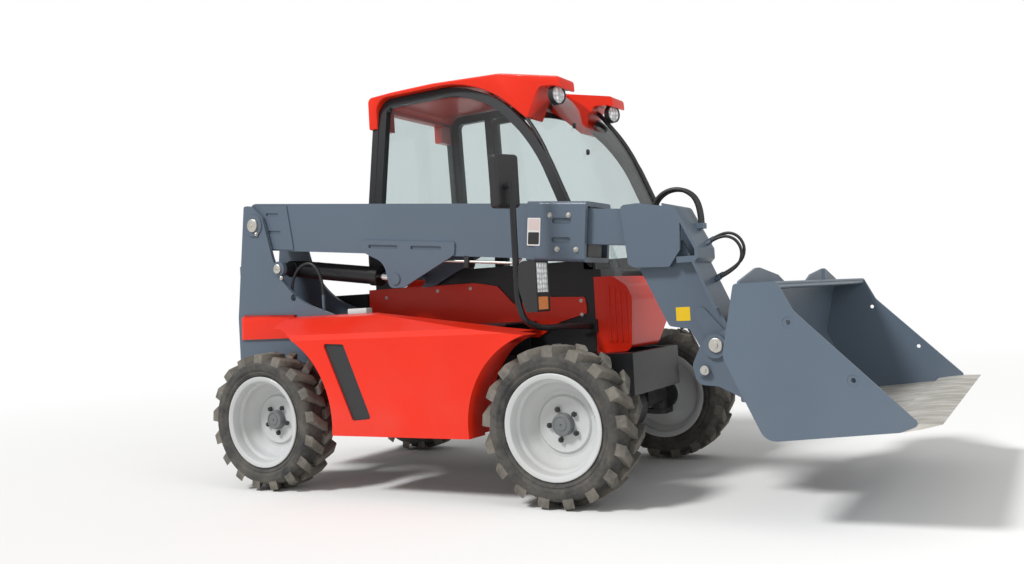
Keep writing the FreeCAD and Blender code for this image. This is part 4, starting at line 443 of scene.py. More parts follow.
def rubber(name, dark, dusty, amount):
    """Matt rubber with dried dust, the more of it the lower the amount."""
    finish = Finish(name)
    cake = finish.clip(finish.noise(11.0, 6.0) + finish.noise(60.0, 3.0) * 0.4, amount, 1.0)
    return finish.surface(Base_Color=finish.mix(cake, dark, dusty), Roughness=0.72 + cake * 0.22,
                          Normal=finish.bump(finish.noise(120.0, 4.0), 0.3, 0.002))


sidewall = rubber("tyre_sidewall", (0.024, 0.0245, 0.0245, 1), (0.12, 0.11, 0.095, 1), 0.5)
tread = rubber("tyre_tread", (0.042, 0.041, 0.038, 1), (0.23, 0.21, 0.175, 1), 0.34)
section = CARCASS + [(radius, -along) for radius, along in reversed(CARCASS[:-1])] + CARCASS[:1]
lug_pitch = 360 / LUG_COUNT
for corner, (x, side, turn) in WHEELS.items():
    tyre = turned(section, 102)
    for hand, lead in ((1, 0), (-1, lug_pitch / 2)):
        add(tyre, lug(hand), *(Matrix.Rotation(math.radians(lead + lug_pitch * index), 4, "Y")
                               for index in range(LUG_COUNT)), index=1)
    tyre.transform(Matrix.Translation((x, side * WHEEL_Y, AXLE_HEIGHT)))
    made("tyre_" + corner + "_rubber", tyre, [sidewall, tread], "wheel_" + corner, "tyre",
         "tyre_" + corner)

# Chassis: welded plate frame, axle castings with the steering rod's ground ends, and the engine
# block in the bay, all in black or bare dark casting.
black = coat("black_coat", (0.016, 0.017, 0.019), 0.36, 0.2)
dress(black, "chassis_frame", "steering_cylinder", "rear_hood")
iron = coat("axle_casting", (0.03, 0.03, 0.032), 0.55, 0.4, 0.3)
dress(iron, "front_axle", "rear_axle", "knuckle_left", "knuckle_right", "engine_block")
chrome = Finish("ground_rod")
ground_rod = chrome.surface(Base_Color=(0.72, 0.72, 0.73, 1), Metallic=1.0,
                            Roughness=0.12 + chrome.noise(30.0, 2.0, (1, 1, 6)) * 0.08)
dress(ground_rod, "lift_rod", "tilt_rod", "steering_rod")

# Body covers: mouldings and pressed sheet in gloss orange red, bolted on with zinc bolts along
# their edges. A black perforated sheet is let into the side cover.
red = coat("orange_red_coat", (0.78, 0.022, 0.004), 0.3, 0.16)
dress(red, "engine_pod", "rear_cover", "inner_cover", "front_cover")
mesh_plate = Finish("perforated_plate")
cells = mesh_plate.node("ShaderNodeTexVoronoi", {"feature": "F1"},
                        {"Vector": mesh_plate.place, "Scale": 120.0, "Randomness": 0.12})
holes = mesh_plate.clip(cells, 0.30, 0.40)
dress(mesh_plate.surface(Base_Color=mesh_plate.mix(holes, (0.002, 0.002, 0.002, 1),
                                                   (0.022, 0.022, 0.024, 1)),
                         Roughness=0.45 + holes * 0.1, Normal=mesh_plate.bump(holes, 0.6, 0.002)),
      "pod_grille")


def washer_bolt(radius, height):
    """Round-headed bolt on a washer, standing on the XZ plane."""
    return turned([(radius, 0), (radius, height * 0.25), (radius * 0.66, height * 0.3),
                   (radius * 0.64, height * 0.8), (radius * 0.4, height), (0, height)], 20)


def facing(x, y, z):
    """Place on a right side: what stands on the XZ plane there faces -Y."""
    return Matrix.Translation((x, y, z)) @ Matrix.Rotation(math.pi, 4, "Z")


def right_side(node):
    """How far right a CAD node reaches."""
    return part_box(node)[0][1]


COVER_BOLTS = ((-0.985, 0.935), (-0.655, 0.955), (-0.455, 0.958), (0.158, 0.866), (0.158, 0.80))
cover_bolts = bmesh.new()
add(cover_bolts, washer_bolt(0.009, 0.006),
    *(facing(x, right_side("inner_cover"), z) for x, z in COVER_BOLTS))
made("cover_bolts", cover_bolts, [plated], "chassis", "plated")

# Tower, boom, head, tool carriage and bucket: welded steelwork in satin slate grey. The tower's
# pins are zinc plated, each held by a small bolted keeper.
BOOM_PIVOT = (-1.6185, 1.363)
LIFT_PIVOT = (-1.4545, 1.119)
BOOM_PIN, LIFT_PIN = 0.034, 0.024
KEEPER_AHEAD, KEEPER_DROP = 0.022, 0.048
BOOM_SLOPE = math.radians(5.5)
slate = coat("slate_coat", (0.103, 0.136, 0.177), 0.34, 0.1, 0.06)
dress(slate, "boom_tower", "boom_outer", "boom_collar", "boom_inner", "boom_head", "carriage",
      "bucket")
dress(plated, "tower_pins")
tower_y = right_side("tower_pins")
keepers = bmesh.new()
for x, z, radius in ((*BOOM_PIVOT, BOOM_PIN), (*LIFT_PIVOT, LIFT_PIN)):
    add(keepers, turned([(radius, 0), (radius, 0.003), (radius * 0.86, 0.005), (0, 0.005)], 36),
        facing(x, tower_y, z))
    add(keepers, turned([(0.007, 0), (0.007, 0.006), (0.003, 0.012), (0, 0.012)], 12),
        facing(x, tower_y, z))
    add(keepers, washer_bolt(0.011, 0.009),
        facing(x + KEEPER_AHEAD, right_side("boom_tower"), z - KEEPER_DROP))
made("pin_keepers", keepers, [plated], "chassis", "plated")


def on_boom(along, across, y):
    """Place on the boom's right side, in the boom's own slope, facing -Y."""
    return (Matrix.Translation((BOOM_PIVOT[0], y, BOOM_PIVOT[1]))
            @ Matrix.Rotation(BOOM_SLOPE, 4, "Y") @ Matrix.Translation((along, 0, across))
            @ Matrix.Rotation(math.pi, 4, "Z"))


# Boom collar: a welded steel sleeve round the boom's mouth, with four bolts in its side and four
# studs on top that hold and set the nylon slide pads inside it.
COLLAR_BOLTS = ((1.783, 0.066), (1.876, 0.066), (1.824, -0.086), (1.917, -0.086))
STUD_ALONG, STUD_Y, STUD_LEVEL = (1.80, 1.885), (-0.40, -0.24), 0.122
collar_y = right_side("boom_collar")
spots = [on_boom(along, across, collar_y) for along, across in COLLAR_BOLTS]
collar_bolts = bmesh.new()
add(collar_bolts, hex_nut(0.0095, 0.009), *spots)
add(collar_bolts, turned([(0.0125, 0), (0.0125, 0.002), (0, 0.002)], 20), *spots)
add(collar_bolts, turned([(0.008, 0), (0.008, 0.004), (0.005, 0.005), (0.005, 0.02), (0, 0.021)], 12),
    *(on_boom(along, STUD_LEVEL, y) @ Matrix.Rotation(math.radians(-90), 4, "X")
      for along in STUD_ALONG for y in STUD_Y))
made("collar_bolts", collar_bolts, [plated], "boom", "plated")

# Cab: a frame welded from bent box section on a sheet steel tub, in satin black. The right side is
# one arched frame that leans inwards, the door side has a post behind the door, and a cross
# member ties them at the top of the windscreen.
CAB_REAR = -1.0565
CAB_TOP = 2.030
CAB_SILL = 1.0101
CAB_RIGHT, CAB_LEFT = -0.165, 0.740
CAB_WAIST = 1.300
RIGHT_LEAN, LEFT_LEAN = 0.174, -0.05
POST, WALL = 0.046, 0.040
HEADER_PLACE = (-0.33, 0.33, CAB_TOP - 0.05)
HEADER = (0.05, 0.78, 0.07)
ARCH = [(CAB_REAR, CAB_SILL, 0), (CAB_REAR, CAB_TOP - 0.01, 0.075), (-0.4065, CAB_TOP, 0.6),
        (-0.0555, 1.679, 0.9), (0.2235, 1.107, 0.4), (0.2235, CAB_SILL, 0)]
REAR_POST, DOOR_POST, POST_TOP = -0.775, 0.045, 2.0
DOOR_SIDE = [(CAB_REAR, CAB_SILL, 0), (CAB_REAR, CAB_TOP - 0.01, 0.075), (-0.2365, CAB_TOP, 0.6),
             (0.0985, 1.695, 0.8), (0.2635, 1.29, 0.5), (0.2635, CAB_SILL, 0)]
SCREEN = [(-0.2365, CAB_TOP - 0.005, 0), (-0.09, CAB_TOP - 0.09, 0.5), (0.0985, 1.695, 0.8),
          (0.2635, 1.29, 0.5), (0.2635, 1.0, 0)]


def rounded(corners, closed=True, segments=8):
    """Face, or line where it is open, in the XZ plane, with corners given as (x, z, radius)."""
    shape = bmesh.new()
    places = [Vector((x, 0, z)) for x, z, radius in corners]
    points = [shape.verts.new(place) for place in places]
    if closed:
        shape.faces.new(points)
    else:
        for pair in zip(points, points[1:]):
            shape.edges.new(pair)
    for index, (x, z, radius) in enumerate(corners):
        if radius:
            before = places[index] - places[index - 1]
            after = places[(index + 1) % len(places)] - places[index]
            reach = radius * math.tan(before.angle(after) / 2)
            bmesh.ops.bevel(shape, geom=[points[index]], offset=reach, segments=segments,
                            affect="VERTICES", profile=0.5, material=-1)
    return shape


def thicken(shape, wall):
    """Extrudes every face of a flat shape along Y."""
    grown = bmesh.ops.extrude_face_region(shape, geom=shape.faces[:])
    points = [item for item in grown["geom"] if isinstance(item, bmesh.types.BMVert)]
    bmesh.ops.translate(shape, verts=points, vec=(0, wall, 0))
    return shape


def framed(corners, width, wall):
    """Closed frame of a width inside an outline, as thick as its wall."""
    shape = rounded(corners)
    inner = shape.faces[:]
    bmesh.ops.inset_region(shape, faces=inner, thickness=width, use_boundary=True,
                           use_even_offset=True)
    bmesh.ops.delete(shape, geom=inner, context="FACES")
    return thicken(shape, wall)


def sliced(shape, place, normal, clear=False):
    """Cuts a shape at a plane, clears what lies past it where asked, and gives the cut's edges."""
    cut = bmesh.ops.bisect_plane(shape, geom=shape.verts[:] + shape.edges[:] + shape.faces[:],
                                 plane_co=place, plane_no=normal, clear_outer=clear)
    return [item for item in cut["geom_cut"] if isinstance(item, bmesh.types.BMEdge)]


def leant(shape, slope):
    """Leans what stands above the waist inwards."""
    sliced(shape, (0, 0, CAB_WAIST), (0, 0, 1))
    for point in shape.verts:
        point.co.y += slope * max(0, point.co.z - CAB_WAIST)
    return shape


def kept(node, *cuts):
    """Copy of a node's mesh with what lies past each plane cut away and closed."""
    shape = bmesh.new()
    shape.from_mesh(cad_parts[node].data)
    bmesh.ops.remove_doubles(shape, verts=shape.verts[:], dist=0.00001)
    for place, normal in cuts:
        rim = sliced(shape, place, normal, clear=True)
        bmesh.ops.triangle_fill(shape, edges=rim, use_beauty=True)
    return shape


def block(place, size, reach):
    """Square block of a size at a place, with its edges eased."""
    shape = bmesh.new()
    bmesh.ops.create_cube(shape, size=1, matrix=place @ Matrix.Diagonal((*size, 1)))
    eased(shape, shape.edges[:], reach)
    return shape


cab = kept("cab_frame", ((CAB_REAR, 0, 0), (-1, 0, 0)), ((0, 0, CAB_SILL), (0, 0, 1)))
arch = framed(ARCH, POST, WALL)
arch.transform(Matrix.Translation((0, CAB_RIGHT, 0)))
add(cab, leant(arch, RIGHT_LEAN))
door_side = framed(DOOR_SIDE, POST, WALL)
add(door_side, thicken(rounded([(REAR_POST - DOOR_POST, CAB_SILL, 0),
                                (REAR_POST - DOOR_POST, POST_TOP, 0),
                                (REAR_POST, POST_TOP, 0), (REAR_POST, CAB_SILL, 0)]), WALL))
door_side.transform(Matrix.Translation((0, CAB_LEFT - WALL, 0)))
add(cab, leant(door_side, LEFT_LEAN))
REAR_TOP = CAB_TOP - 0.02
REAR = [(CAB_RIGHT, CAB_SILL, 0), (CAB_RIGHT, CAB_WAIST, 0), (-0.045, REAR_TOP, 0.03),
        (0.703, REAR_TOP, 0.03), (CAB_LEFT, CAB_WAIST, 0), (CAB_LEFT, CAB_SILL, 0)]
back = framed(REAR, POST, WALL)
back.transform(Matrix.Translation((CAB_REAR, 0, 0)) @ Matrix.Rotation(math.radians(90), 4, "Z"))
add(cab, back)
add(cab, block(Matrix.Translation(HEADER_PLACE), HEADER, 0.008))
made("cab_shell", cab, [black], "chassis", "dark_paint", "cab_frame")
dress(black, "mirror_arm")

# Door: a sheet steel lower half welded to a slim bent frame that holds the pane, hung at its back
# edge and sprayed black like the cab.
DOOR_WAIST = 1.055
DOOR_TOP = CAB_TOP - 0.052
DOOR = [(REAR_POST + 0.005, DOOR_WAIST, 0), (REAR_POST + 0.005, DOOR_TOP, 0.04),
        (-0.2565, DOOR_TOP, 0.55), (0.0535, 1.670, 0.75), (0.2115, 1.28, 0.45),
        (0.2115, DOOR_WAIST, 0)]
DOOR_FRAME, DOOR_WALL, DOOR_DEPTH = 0.034, 0.03, 0.034
door = kept("door", ((0, 0, DOOR_WAIST), (0, 0, 1)))
upper = framed(DOOR, DOOR_FRAME, DOOR_WALL)
upper.transform(Matrix.Translation((0, CAB_LEFT - DOOR_DEPTH, 0)))
add(door, leant(upper, LEFT_LEAN))
made("door_shell", door, [black], "door", "dark_paint", "door")

# Windows: the windscreen is one bent pane of lightly tinted glass, 5 mm thick, from the door
# side's post round to the arched frame, with black rubber along its edges. The other panes are
# flat and glued in behind their frames.
PANE = 0.005
LAP, DOOR_LAP = 0.012, 0.01
PANE_DEPTH, DOOR_PANE_DEPTH = 0.018, 0.022
SCREEN_NEAR, SCREEN_FAR = 0.012, 0.055
WRAP = 0.135
SCREEN_BEND = 0.05
THIN_SEAL, WIDE_SEAL = 0.009, 0.012
pane = Finish("tinted_glass")
clear = pane.node("ShaderNodeBsdfTransparent", None, {"Color": (0.88, 0.91, 0.91, 1)})
shine = pane.node("ShaderNodeBsdfGlossy", None, {"Roughness": 0.02})
facing_away = pane.node("ShaderNodeLayerWeight", None, {"Blend": 0.5}, output=1)
glance = facing_away * facing_away
edge = glance * glance * 0.55 + 0.04
streak = pane.clip(pane.noise(2.5, 4.0, (1, 1, 0.4)), 0.45, 0.85)
pane.node_output(pane.node("ShaderNodeMixShader", None, (edge + streak * 0.05, clear, shine)))
moulded = Finish("moulded_plastic")
plastic = moulded.surface(
    Base_Color=moulded.mix(moulded.noise(8.0), (0.010, 0.010, 0.011, 1), (0.020, 0.020, 0.021, 1)),
    Roughness=0.48 + moulded.noise(50.0) * 0.12,
    Normal=moulded.bump(moulded.noise(900.0, 1.0), 0.2, 0.0005))


def tube(points, radius):
    """Round seal or wire along a line of points, as a mesh."""
    line = bpy.data.curves.new("line", "CURVE")
    line.dimensions = "3D"
    line.bevel_depth = radius
    line.bevel_resolution = 3
    line.use_fill_caps = True
    spline = line.splines.new("POLY")
    spline.points.add(len(points) - 1)
    for point, place in zip(spline.points, points):
        point.co = (*place, 1)
    holder = bpy.data.objects.new("line", line)
    mesh = bpy.data.meshes.new_from_object(holder)
    shape = bmesh.new()
    shape.from_mesh(mesh)
    bpy.data.objects.remove(holder)
    bpy.data.meshes.remove(mesh)
    return shape


def edge_line(corners, y, slope):
    """Points of a rounded line on one side of the cab, in order along it."""
    shape = leant(rounded(corners, closed=False), 0)
    ends = [point for point in shape.verts if len(point.link_edges) == 1]
    here = max(ends, key=lambda point: point.co.z - point.co.x)
    line, seen = [here], {here}
    while len(line) < len(shape.verts):
        here = next(edge.other_vert(here) for edge in here.link_edges
                    if edge.other_vert(here) not in seen)
        seen.add(here)
        line.append(here)
    places = [(point.co.x, y + slope * max(0, point.co.z - CAB_WAIST), point.co.z)
              for point in line]
    shape.free()
    return places


arch_front = [(-0.36, CAB_TOP - 0.03, 0), (-0.22, CAB_TOP - 0.12, 0.5), (-0.0555, 1.679, 0.9),
              (0.2235, 1.107, 0.4), (0.2235, 1.0, 0)]
arch_edge = edge_line(arch_front, CAB_RIGHT + SCREEN_NEAR, RIGHT_LEAN)
near_edge = edge_line(SCREEN, CAB_RIGHT + WRAP, RIGHT_LEAN)
far_edge = edge_line(SCREEN, CAB_LEFT - SCREEN_FAR, LEFT_LEAN)
screen = bmesh.new()
lines = []
for places in (arch_edge, near_edge, far_edge):
    points = [screen.verts.new(place) for place in places]
    lines.append([screen.edges.new(pair) for pair in zip(points, points[1:])])
for first, second in zip(lines, lines[1:]):
    bmesh.ops.bridge_loops(screen, edges=first + second)
crease = [edge for edge in lines[1] if edge.is_valid]
eased(screen, crease, SCREEN_BEND, 4)
bmesh.ops.recalc_face_normals(screen, faces=screen.faces[:])
bmesh.ops.solidify(screen, geom=screen.faces[:], thickness=PANE)
made("windscreen_pane", screen, [pane.material], "chassis", "tinted_glass", "windscreen")


def glazed(corners, inset, y, slope):
    """Flat pane a little larger than its frame's opening, leant with its side."""
    shape = rounded(corners)
    bmesh.ops.inset_region(shape, faces=shape.faces[:], thickness=inset, use_even_offset=True,
                           use_boundary=True)
    rim = [face for face in shape.faces if len(face.verts) == 4]
    bmesh.ops.delete(shape, geom=rim, context="FACES")
    thicken(shape, PANE)
    shape.transform(Matrix.Translation((0, y, 0)))
    return leant(shape, slope)


QUARTER = [(CAB_REAR, CAB_SILL, 0), (CAB_REAR, CAB_TOP - 0.01, 0.075),
           (REAR_POST - LAP, CAB_TOP, 0), (REAR_POST - LAP, CAB_SILL, 0)]
MIDDLE_Y = 0.3
inward = POST - LAP
right_pane = glazed(ARCH, inward, CAB_RIGHT + PANE_DEPTH, RIGHT_LEAN)
add(right_pane, glazed(QUARTER, inward, CAB_LEFT - PANE_DEPTH - PANE, LEFT_LEAN))
rise = {CAB_SILL: inward, CAB_WAIST: 0}
rear_pane = rounded([(y + (inward if y < MIDDLE_Y else -inward), z + rise.get(z, -inward), 0)
                     for y, z, radius in REAR])
thicken(rear_pane, PANE)
rear_pane.transform(Matrix.Translation((CAB_REAR + PANE_DEPTH, 0, 0))
                    @ Matrix.Rotation(math.radians(90), 4, "Z"))
add(right_pane, rear_pane)
made("cab_panes", right_pane, [pane.material], "chassis", "tinted_glass", "side_windows")
made("door_pane", glazed(DOOR, DOOR_FRAME - DOOR_LAP, CAB_LEFT - DOOR_PANE_DEPTH, LEFT_LEAN),
     [pane.material], "door", "tinted_glass", "door_glass")
seals = tube(arch_edge, THIN_SEAL)
add(seals, tube(far_edge, WIDE_SEAL))
add(seals, tube([arch_edge[0], near_edge[0], far_edge[0]], WIDE_SEAL))
made("cab_seals", seals, [plastic], "chassis", "plastic")

# Roof: a thin plastic cap moulded in the body's red that follows the side arches, with two horns
# in front that carry the round work lamps. It is screwed to the frame from below.
ROOF_RIGHT, ROOF_LEFT = -0.080, 0.728
HORN = 0.165
ROOF_EASE = 0.012
TUCK = 0.01
ROOF = [(-1.1145, CAB_TOP - 0.17, 0.01), (-1.1145, CAB_TOP + 0.006, 0.03),
        (-0.9525, CAB_TOP + 0.016, 0.2), (-0.6865, CAB_TOP + 0.022, 0.5),
        (-0.2765, CAB_TOP + 0.008, 0.3), (0.0605, CAB_TOP - 0.06, 0.02),
        (0.0635, CAB_TOP - 0.118, 0.008), (0.0315, CAB_TOP - 0.104, 0.01),
        (-0.0545, CAB_TOP - 0.096, 0.03), (-0.1295, CAB_TOP - 0.245, 0.01),
        (-0.4065, CAB_TOP + 0.002, 0.55), (CAB_REAR - 0.004, CAB_TOP - 0.007, 0.075),
        (CAB_REAR - 0.004, CAB_TOP - 0.17, 0)]
MIDDLE = [(-1.1145, CAB_TOP - 0.07, 0.01), (-1.1145, CAB_TOP + 0.009, 0.03),
          (-0.9525, CAB_TOP + 0.019, 0.2), (-0.6865, CAB_TOP + 0.029, 0.5),
          (-0.2765, CAB_TOP + 0.012, 0.1), (-0.2, CAB_TOP - 0.012, 0.01),
          (-0.2, CAB_TOP - 0.04, 0.01), (-0.6865, CAB_TOP + 0.002, 0.5),
          (-1.05, CAB_TOP - 0.024, 0.02), (-1.05, CAB_TOP - 0.07, 0.01)]


def softened(shape, reach):
    """Rounds the rim of a moulding's face that lies in the XZ plane."""
    rim = [edge for edge in shape.edges
           if all(abs(point.co.y) < 0.0001 for point in edge.verts)]
    bmesh.ops.bevel(shape, geom=rim, offset=reach, segments=3, affect="EDGES", profile=0.5,
                    material=-1, clamp_overlap=True)
    return shape


roof = bmesh.new()
for outer_y, width in ((ROOF_RIGHT, HORN), (ROOF_LEFT, -HORN)):
    add(roof, softened(thicken(rounded(ROOF, segments=6), width), ROOF_EASE),
        Matrix.Translation((0, outer_y, 0)))
add(roof, thicken(rounded(MIDDLE, segments=6), ROOF_LEFT - ROOF_RIGHT - 2 * (HORN - TUCK)),
    Matrix.Translation((0, ROOF_RIGHT + HORN - TUCK, 0)))
made("roof_cap", roof, [red], "chassis", "body_paint", "cab_roof")

# Work lamps: two round lamps in black cups on short stems under the roof's horns, each with a
# clear lens over a bright reflector.
LAMP_RADIUS = 0.049
LAMP_X, LAMP_DROP, LAMP_INSET = -0.018, 0.140, 0.066
LAMP_TURN = -108
STEM = (0.02, 0.02, 0.05)
clear_lens = Finish("clear_lens")
ribs = clear_lens.node("ShaderNodeTexVoronoi", None,
                       {"Vector": clear_lens.place, "Scale": 45.0, "Randomness": 0.3})
lens_clear = clear_lens.surface(
    Base_Color=clear_lens.mix(clear_lens.clip(ribs, 0.2, 0.6), (0.92, 0.93, 0.93, 1),
                              (0.42, 0.43, 0.44, 1)),
    Roughness=0.08 + clear_lens.noise(60.0) * 0.08,
    Normal=clear_lens.bump(ribs, 0.7, 0.003))
cups = bmesh.new()
glasses = bmesh.new()
lamp_places = [Matrix.Translation((LAMP_X, y, CAB_TOP - LAMP_DROP))
               @ Matrix.Rotation(math.radians(LAMP_TURN), 4, "Z")
               for y in (ROOF_RIGHT + LAMP_INSET, ROOF_LEFT - LAMP_INSET)]
add(cups, turned([(0, 0), (0.022, 0), (0.036, 0.010), (LAMP_RADIUS, 0.024), (LAMP_RADIUS, 0.052),
                  (0.0445, 0.053), (0.0435, 0.046), (0, 0.046)]), *lamp_places)
add(cups, block(Matrix.Translation((0, 0.022, 0.046)), STEM, 0.003), *lamp_places)
made("lamp_cups", cups, [plastic], "chassis", "plastic", "roof_lamps")
add(glasses, turned([(0.043, 0.047), (0.038, 0.0515), (0.012, 0.0535), (0, 0.0535)]), *lamp_places)
made("lamp_glasses", glasses, [lens_clear], "chassis", "lamp")

# Driving lamps, indicators and tail lamps: moulded lenses in black plastic housings, screwed to
# the mirror's arm, the cab's left side and the rear cover. The mirror is a black moulding too.
dress(plastic, "lamp_housings", "mirror", "dash", "seat_base", "steering_wheel")
dress(lens_clear, "lamp_lenses")
for name, colour, node in (("orange_lens", (0.75, 0.20, 0.012), "indicators"),
                           ("red_lens", (0.50, 0.012, 0.010), "rear_lamps")):
    lens_finish = Finish(name)
    fins = lens_finish.node("ShaderNodeTexWave", {"bands_direction": "Z"},
                            {"Vector": lens_finish.place, "Scale": 60.0})
    groove = (*(part * 0.7 for part in colour), 1)
    dress(lens_finish.surface(Base_Color=lens_finish.mix(fins, (*colour, 1), groove),
                              Roughness=0.12 + lens_finish.noise(60.0) * 0.08,
                              Normal=lens_finish.bump(fins, 0.3)), node)

# Cylinders and pipes: welded steel barrels in black with ground chrome rods, two bent steel pipes
# along the boom in a black clip, and nylon slide pads at the boom's mouth.
CLIP = (0.026, 0.05, 0.062)
CLIP_ALONG, CLIP_LEVEL, CLIP_Y = 1.338, -0.155, -0.420
dress(black, "tilt_barrel", "lift_barrel")
tube_steel = Finish("pipe_plate")
dress(tube_steel.surface(Base_Color=tube_steel.mix(tube_steel.noise(20.0), (0.45, 0.44, 0.41, 1),
                                                   (0.62, 0.60, 0.55, 1)),
                         Metallic=0.8, Roughness=0.3 + tube_steel.noise(50.0) * 0.15), "boom_pipes")
nylon = Finish("nylon")
dress(nylon.surface(Base_Color=nylon.mix(nylon.noise(30.0), (0.10, 0.10, 0.10, 1),
                                         (0.15, 0.15, 0.145, 1)), Roughness=0.5), "boom_pads")
made("pipe_clip", block(on_boom(CLIP_ALONG, CLIP_LEVEL, CLIP_Y), CLIP, 0.004), [plastic],
     "boom", "plastic")

# Blank plates: a white framed one with a dark lower half on the collar's side, and a plain yellow
# square on the head. Both are thin printed film stuck on the paint, here with no marks on it.
LABEL_ALONG = 1.7025
LABEL_PANELS = ((-0.010, 0.066, 0.126, 0.0006), (0.0225, 0.056, 0.051, 0.0010),
                (-0.0395, 0.056, 0.055, 0.0010))
SQUARE_WIDTH, SQUARE_HEIGHT, SQUARE_WALL = 0.062, 0.058, 0.0008
SQUARE_PLACE = (0.7375, -0.395, 0.788)


def film(width, height, corner, wall):
    """Thin sheet with rounded corners round the origin."""
    x, z = width / 2, height / 2
    return thicken(rounded([(-x, -z, corner), (-x, z, corner), (x, z, corner), (x, -z, corner)],
                           segments=3), wall)


label = bmesh.new()
for index, (across, width, height, wall) in enumerate(LABEL_PANELS):
    add(label, film(width, height, 0.005, wall), on_boom(LABEL_ALONG, across, collar_y),
        index=index)
white_film = coat("white_film", (0.70, 0.69, 0.67), 0.35, 0.1)
pale_film = coat("pale_film", (0.62, 0.52, 0.50), 0.35, 0.1)
dark_film = coat("dark_film", (0.03, 0.03, 0.032), 0.35, 0.1)
made("blank_label", label, [white_film, pale_film, dark_film], "boom", "plastic")
yellow = coat("yellow_film", (0.80, 0.52, 0.01), 0.35, 0.1)
square = film(SQUARE_WIDTH, SQUARE_HEIGHT, 0.003, SQUARE_WALL)
square.transform(facing(*SQUARE_PLACE))
made("blank_square", square, [yellow], "telescope", "plastic")

# Bucket: rolled and welded plate in the boom's grey, with its lip and the front of its floor
# scoured to bare steel. A steel bush lines each of the four holes in its sides.
BUCKET_HOLES = ((1.2915, 0.7543), (1.4995, 0.5483))
BUCKET_SIDE = 0.8755
SCOUR_BACK, SCOUR_CUT, SCOUR_TOP, SCOUR_LIFT = 0.012, 0.035, 0.030, 0.0006
scoured = Finish("scraped_steel")
scratches = scoured.noise(18.0, 6.0, (0.4, 1, 1))
worn = scoured.surface(
    Base_Color=scoured.mix(scoured.clip(scratches, 0.35, 0.7), (0.36, 0.34, 0.30, 1),
                           (0.62, 0.60, 0.56, 1)),
    Metallic=0.35, Roughness=0.42 + scoured.noise(40.0) * 0.2,
    Normal=scoured.bump(scratches, 0.3, 0.001))
dress(worn, "cutting_edge")
bushes = bmesh.new()
for side in (-1, 1):
    for x, z in BUCKET_HOLES:
        add(bushes, turned([(0.009, 0.0005), (0.0198, 0.0005), (0.0198, 0.011), (0.009, 0.011),
                            (0.009, 0.0005)], 36),
            Matrix.Translation((x, side * BUCKET_SIDE, z))
            @ Matrix.Rotation(math.pi if side > 0 else 0, 4, "Z"))
made("side_bushes", bushes, [slate], "attachment", "boom_paint")
edge_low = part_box("cutting_edge")[0]
scour = kept("bucket", ((edge_low[0] - SCOUR_BACK, 0, 0), (1, 0, 0)),
             ((0, 0, edge_low[2] + SCOUR_CUT), (0, 0, 1)))
others = [face for face in scour.faces
          if face.normal.z < 0.9 or face.calc_center_median().z > edge_low[2] + SCOUR_TOP]
bmesh.ops.delete(scour, geom=others, context="FACES")
bmesh.ops.translate(scour, verts=scour.verts[:], vec=(0, 0, SCOUR_LIFT))
made("scoured_floor", scour, [worn], "attachment", "worn_steel")

# Head pins: turned steel pins, zinc plated, each with a grease nipple in its middle. The wide one
# is the tool's pivot low on the neck, and the small one holds the tilt rod below it.
PIN_SPOTS = ((0.888, 0.655, 0.030), (0.836, 0.553, 0.020))
PIN_Y = -0.450
caps = bmesh.new()
for x, z, radius in PIN_SPOTS:
    add(caps, turned([(0, -0.004), (radius, -0.004), (radius, 0.004), (radius * 0.9, 0.006),
                      (radius * 0.4, 0.006), (radius * 0.36, 0.010), (0, 0.010)], 36),
        facing(x, PIN_Y, z))
made("head_pin_caps", caps, [plated], "telescope", "plated")

# Rear cover: a plastic moulding in the body's red round the machine's back, with rounded corners,
# screwed to the frame. A small pale block lies on the ledge ahead of the tower.
COVER_TOP, COVER_LOW = 0.872, 0.752
COVER_BACK, COVER_FRONT = -1.7695, -1.3565
COVER_RIGHT, COVER_LEFT = -0.487, 0.700
BLOCK_PLACE = (-0.982, -0.405, 0.868)
BLOCK = (0.122, 0.05, 0.04)
cover = rounded([(COVER_BACK, COVER_RIGHT, 0.06), (COVER_BACK, COVER_LEFT, 0.05),
                 (COVER_FRONT, COVER_LEFT, 0.01), (COVER_FRONT, COVER_RIGHT, 0)])
thicken(cover, COVER_TOP - COVER_LOW)
cover.transform(Matrix.Translation((0, 0, COVER_TOP)) @ Matrix.Rotation(math.radians(-90), 4, "X"))
eased(cover, [edge for edge in cover.edges
              if all(point.co.z > COVER_TOP - 0.0005 for point in edge.verts)], 0.012, 3)
made("rear_cover_moulding", cover, [red], "chassis", "body_paint", "rear_cover")
made("pale_block", block(Matrix.Translation(BLOCK_PLACE), BLOCK, 0.005), [white_film], "chassis",
     "plastic")

# Windscreen hinges: a black strip runs down the arched post, and round black studs stand in the
# glass where it bends.
STRIP_RADIUS, STUD_TURN, STUD_STEP = 0.006, -60, 6
hinges = tube(arch_edge[2:-2], STRIP_RADIUS)
add(hinges, turned([(0.014, 0), (0.014, 0.012), (0.007, 0.016), (0, 0.016)], 16),
    *(Matrix.Translation(place) @ Matrix.Rotation(math.radians(STUD_TURN), 4, "Z")
      for place in near_edge[STUD_STEP:-2:STUD_STEP]))
made("screen_hinges", hinges, [plastic], "chassis", "plastic")

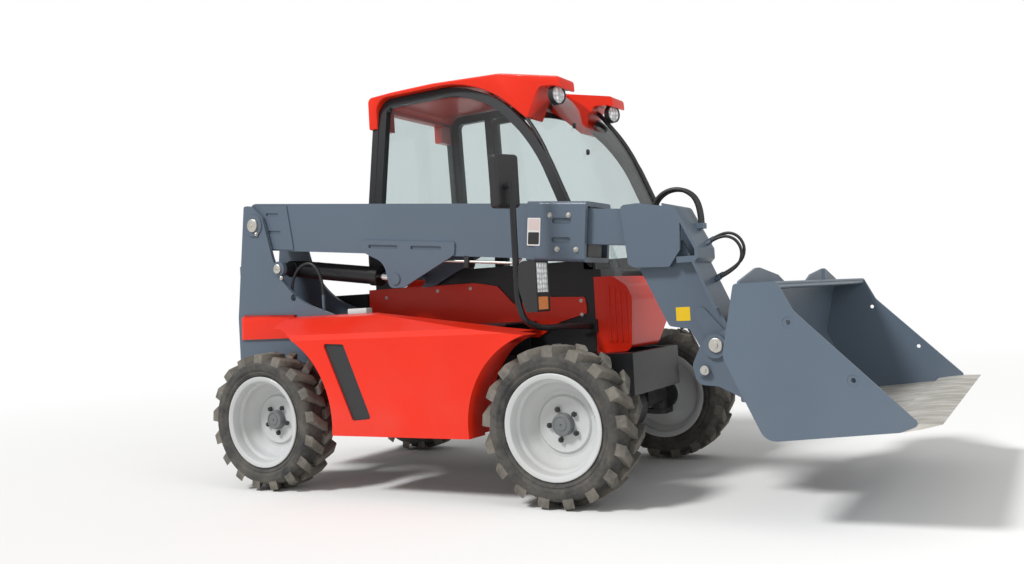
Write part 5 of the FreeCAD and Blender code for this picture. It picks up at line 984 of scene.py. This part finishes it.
# Seat: a deep driver's seat in black woven cloth over foam, its cushion and back sewn from
# crowned pads with a channel across each.
CUSHION, BACK = (0.46, 0.37, 0.12), (0.46, 0.36, 0.11)
CUSHION_SEAMS, BACK_SEAMS = (-0.05, 0.12), (-0.08, 0.09)
CUSHION_LEVEL, BACK_LEVEL = 0.062, 0.345
BACK_DEPTH, BACK_TILT = 0.085, -80
PRESSURE, CLOTH_FRAMES = 4, 12
SEAM_DEPTH, SEAM_WIDTH = 0.010, 0.012
weave = Finish("woven_cloth")
threads = weave.node("ShaderNodeTexWave", {"bands_direction": "X"},
                     {"Vector": weave.place, "Scale": 260.0})
cloth = weave.surface(Base_Color=weave.mix(threads, (0.016, 0.016, 0.018, 1),
                                           (0.040, 0.040, 0.045, 1)),
                      Roughness=0.9, Normal=weave.bump(threads, 0.3))


def pad(name, size, place, seams):
    """One stuffed pad, blown up a little by cloth pressure, with sewn channels across it."""
    shape = bmesh.new()
    bmesh.ops.create_cube(shape, size=1)
    shape.transform(Matrix.Diagonal((*(part * 0.92 for part in size), 1)))
    eased(shape, shape.edges[:], min(size) * 0.3, 4)
    mesh = bpy.data.meshes.new(name)
    shape.to_mesh(mesh)
    shape.free()
    piece = bpy.data.objects.new(name, mesh)
    bpy.context.scene.collection.objects.link(piece)
    remesh = piece.modifiers.new("remesh", "REMESH")
    remesh.voxel_size = 0.012
    stuffing = piece.modifiers.new("cloth", "CLOTH")
    stuffing.settings.use_pressure = True
    stuffing.settings.uniform_pressure_force = PRESSURE
    stuffing.settings.effector_weights.gravity = 0
    for frame_number in range(1, CLOTH_FRAMES + 1):
        bpy.context.scene.frame_set(frame_number)
    blown = bpy.data.meshes.new_from_object(piece.evaluated_get(
        bpy.context.evaluated_depsgraph_get()))
    piece.modifiers.clear()
    piece.data = blown
    for point in blown.vertices:
        for axis in range(3):
            limit = size[axis] / 2
            point.co[axis] = max(-limit, min(limit, point.co[axis]))
        if point.co.z > 0:
            reach = min(abs(point.co.x - seam) for seam in seams)
            point.co.z -= SEAM_DEPTH * math.exp(-(reach / SEAM_WIDTH) ** 2)
    blown.transform(place)
    for face in blown.polygons:
        face.use_smooth = True
    blown.materials.append(cloth)
    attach(piece, "chassis")
    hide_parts("seat")


seat_low, seat_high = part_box("seat")
middle_y = (seat_low[1] + seat_high[1]) / 2
pad("seat_cushion", CUSHION,
    Matrix.Translation((seat_high[0] - CUSHION[0] / 2, middle_y, seat_low[2] + CUSHION_LEVEL)),
    CUSHION_SEAMS)
pad("seat_back", BACK,
    Matrix.Translation((seat_low[0] + BACK_DEPTH, middle_y, seat_low[2] + BACK_LEVEL))
    @ Matrix.Rotation(math.radians(BACK_TILT), 4, "Y"), BACK_SEAMS)
bpy.context.scene.frame_set(1)
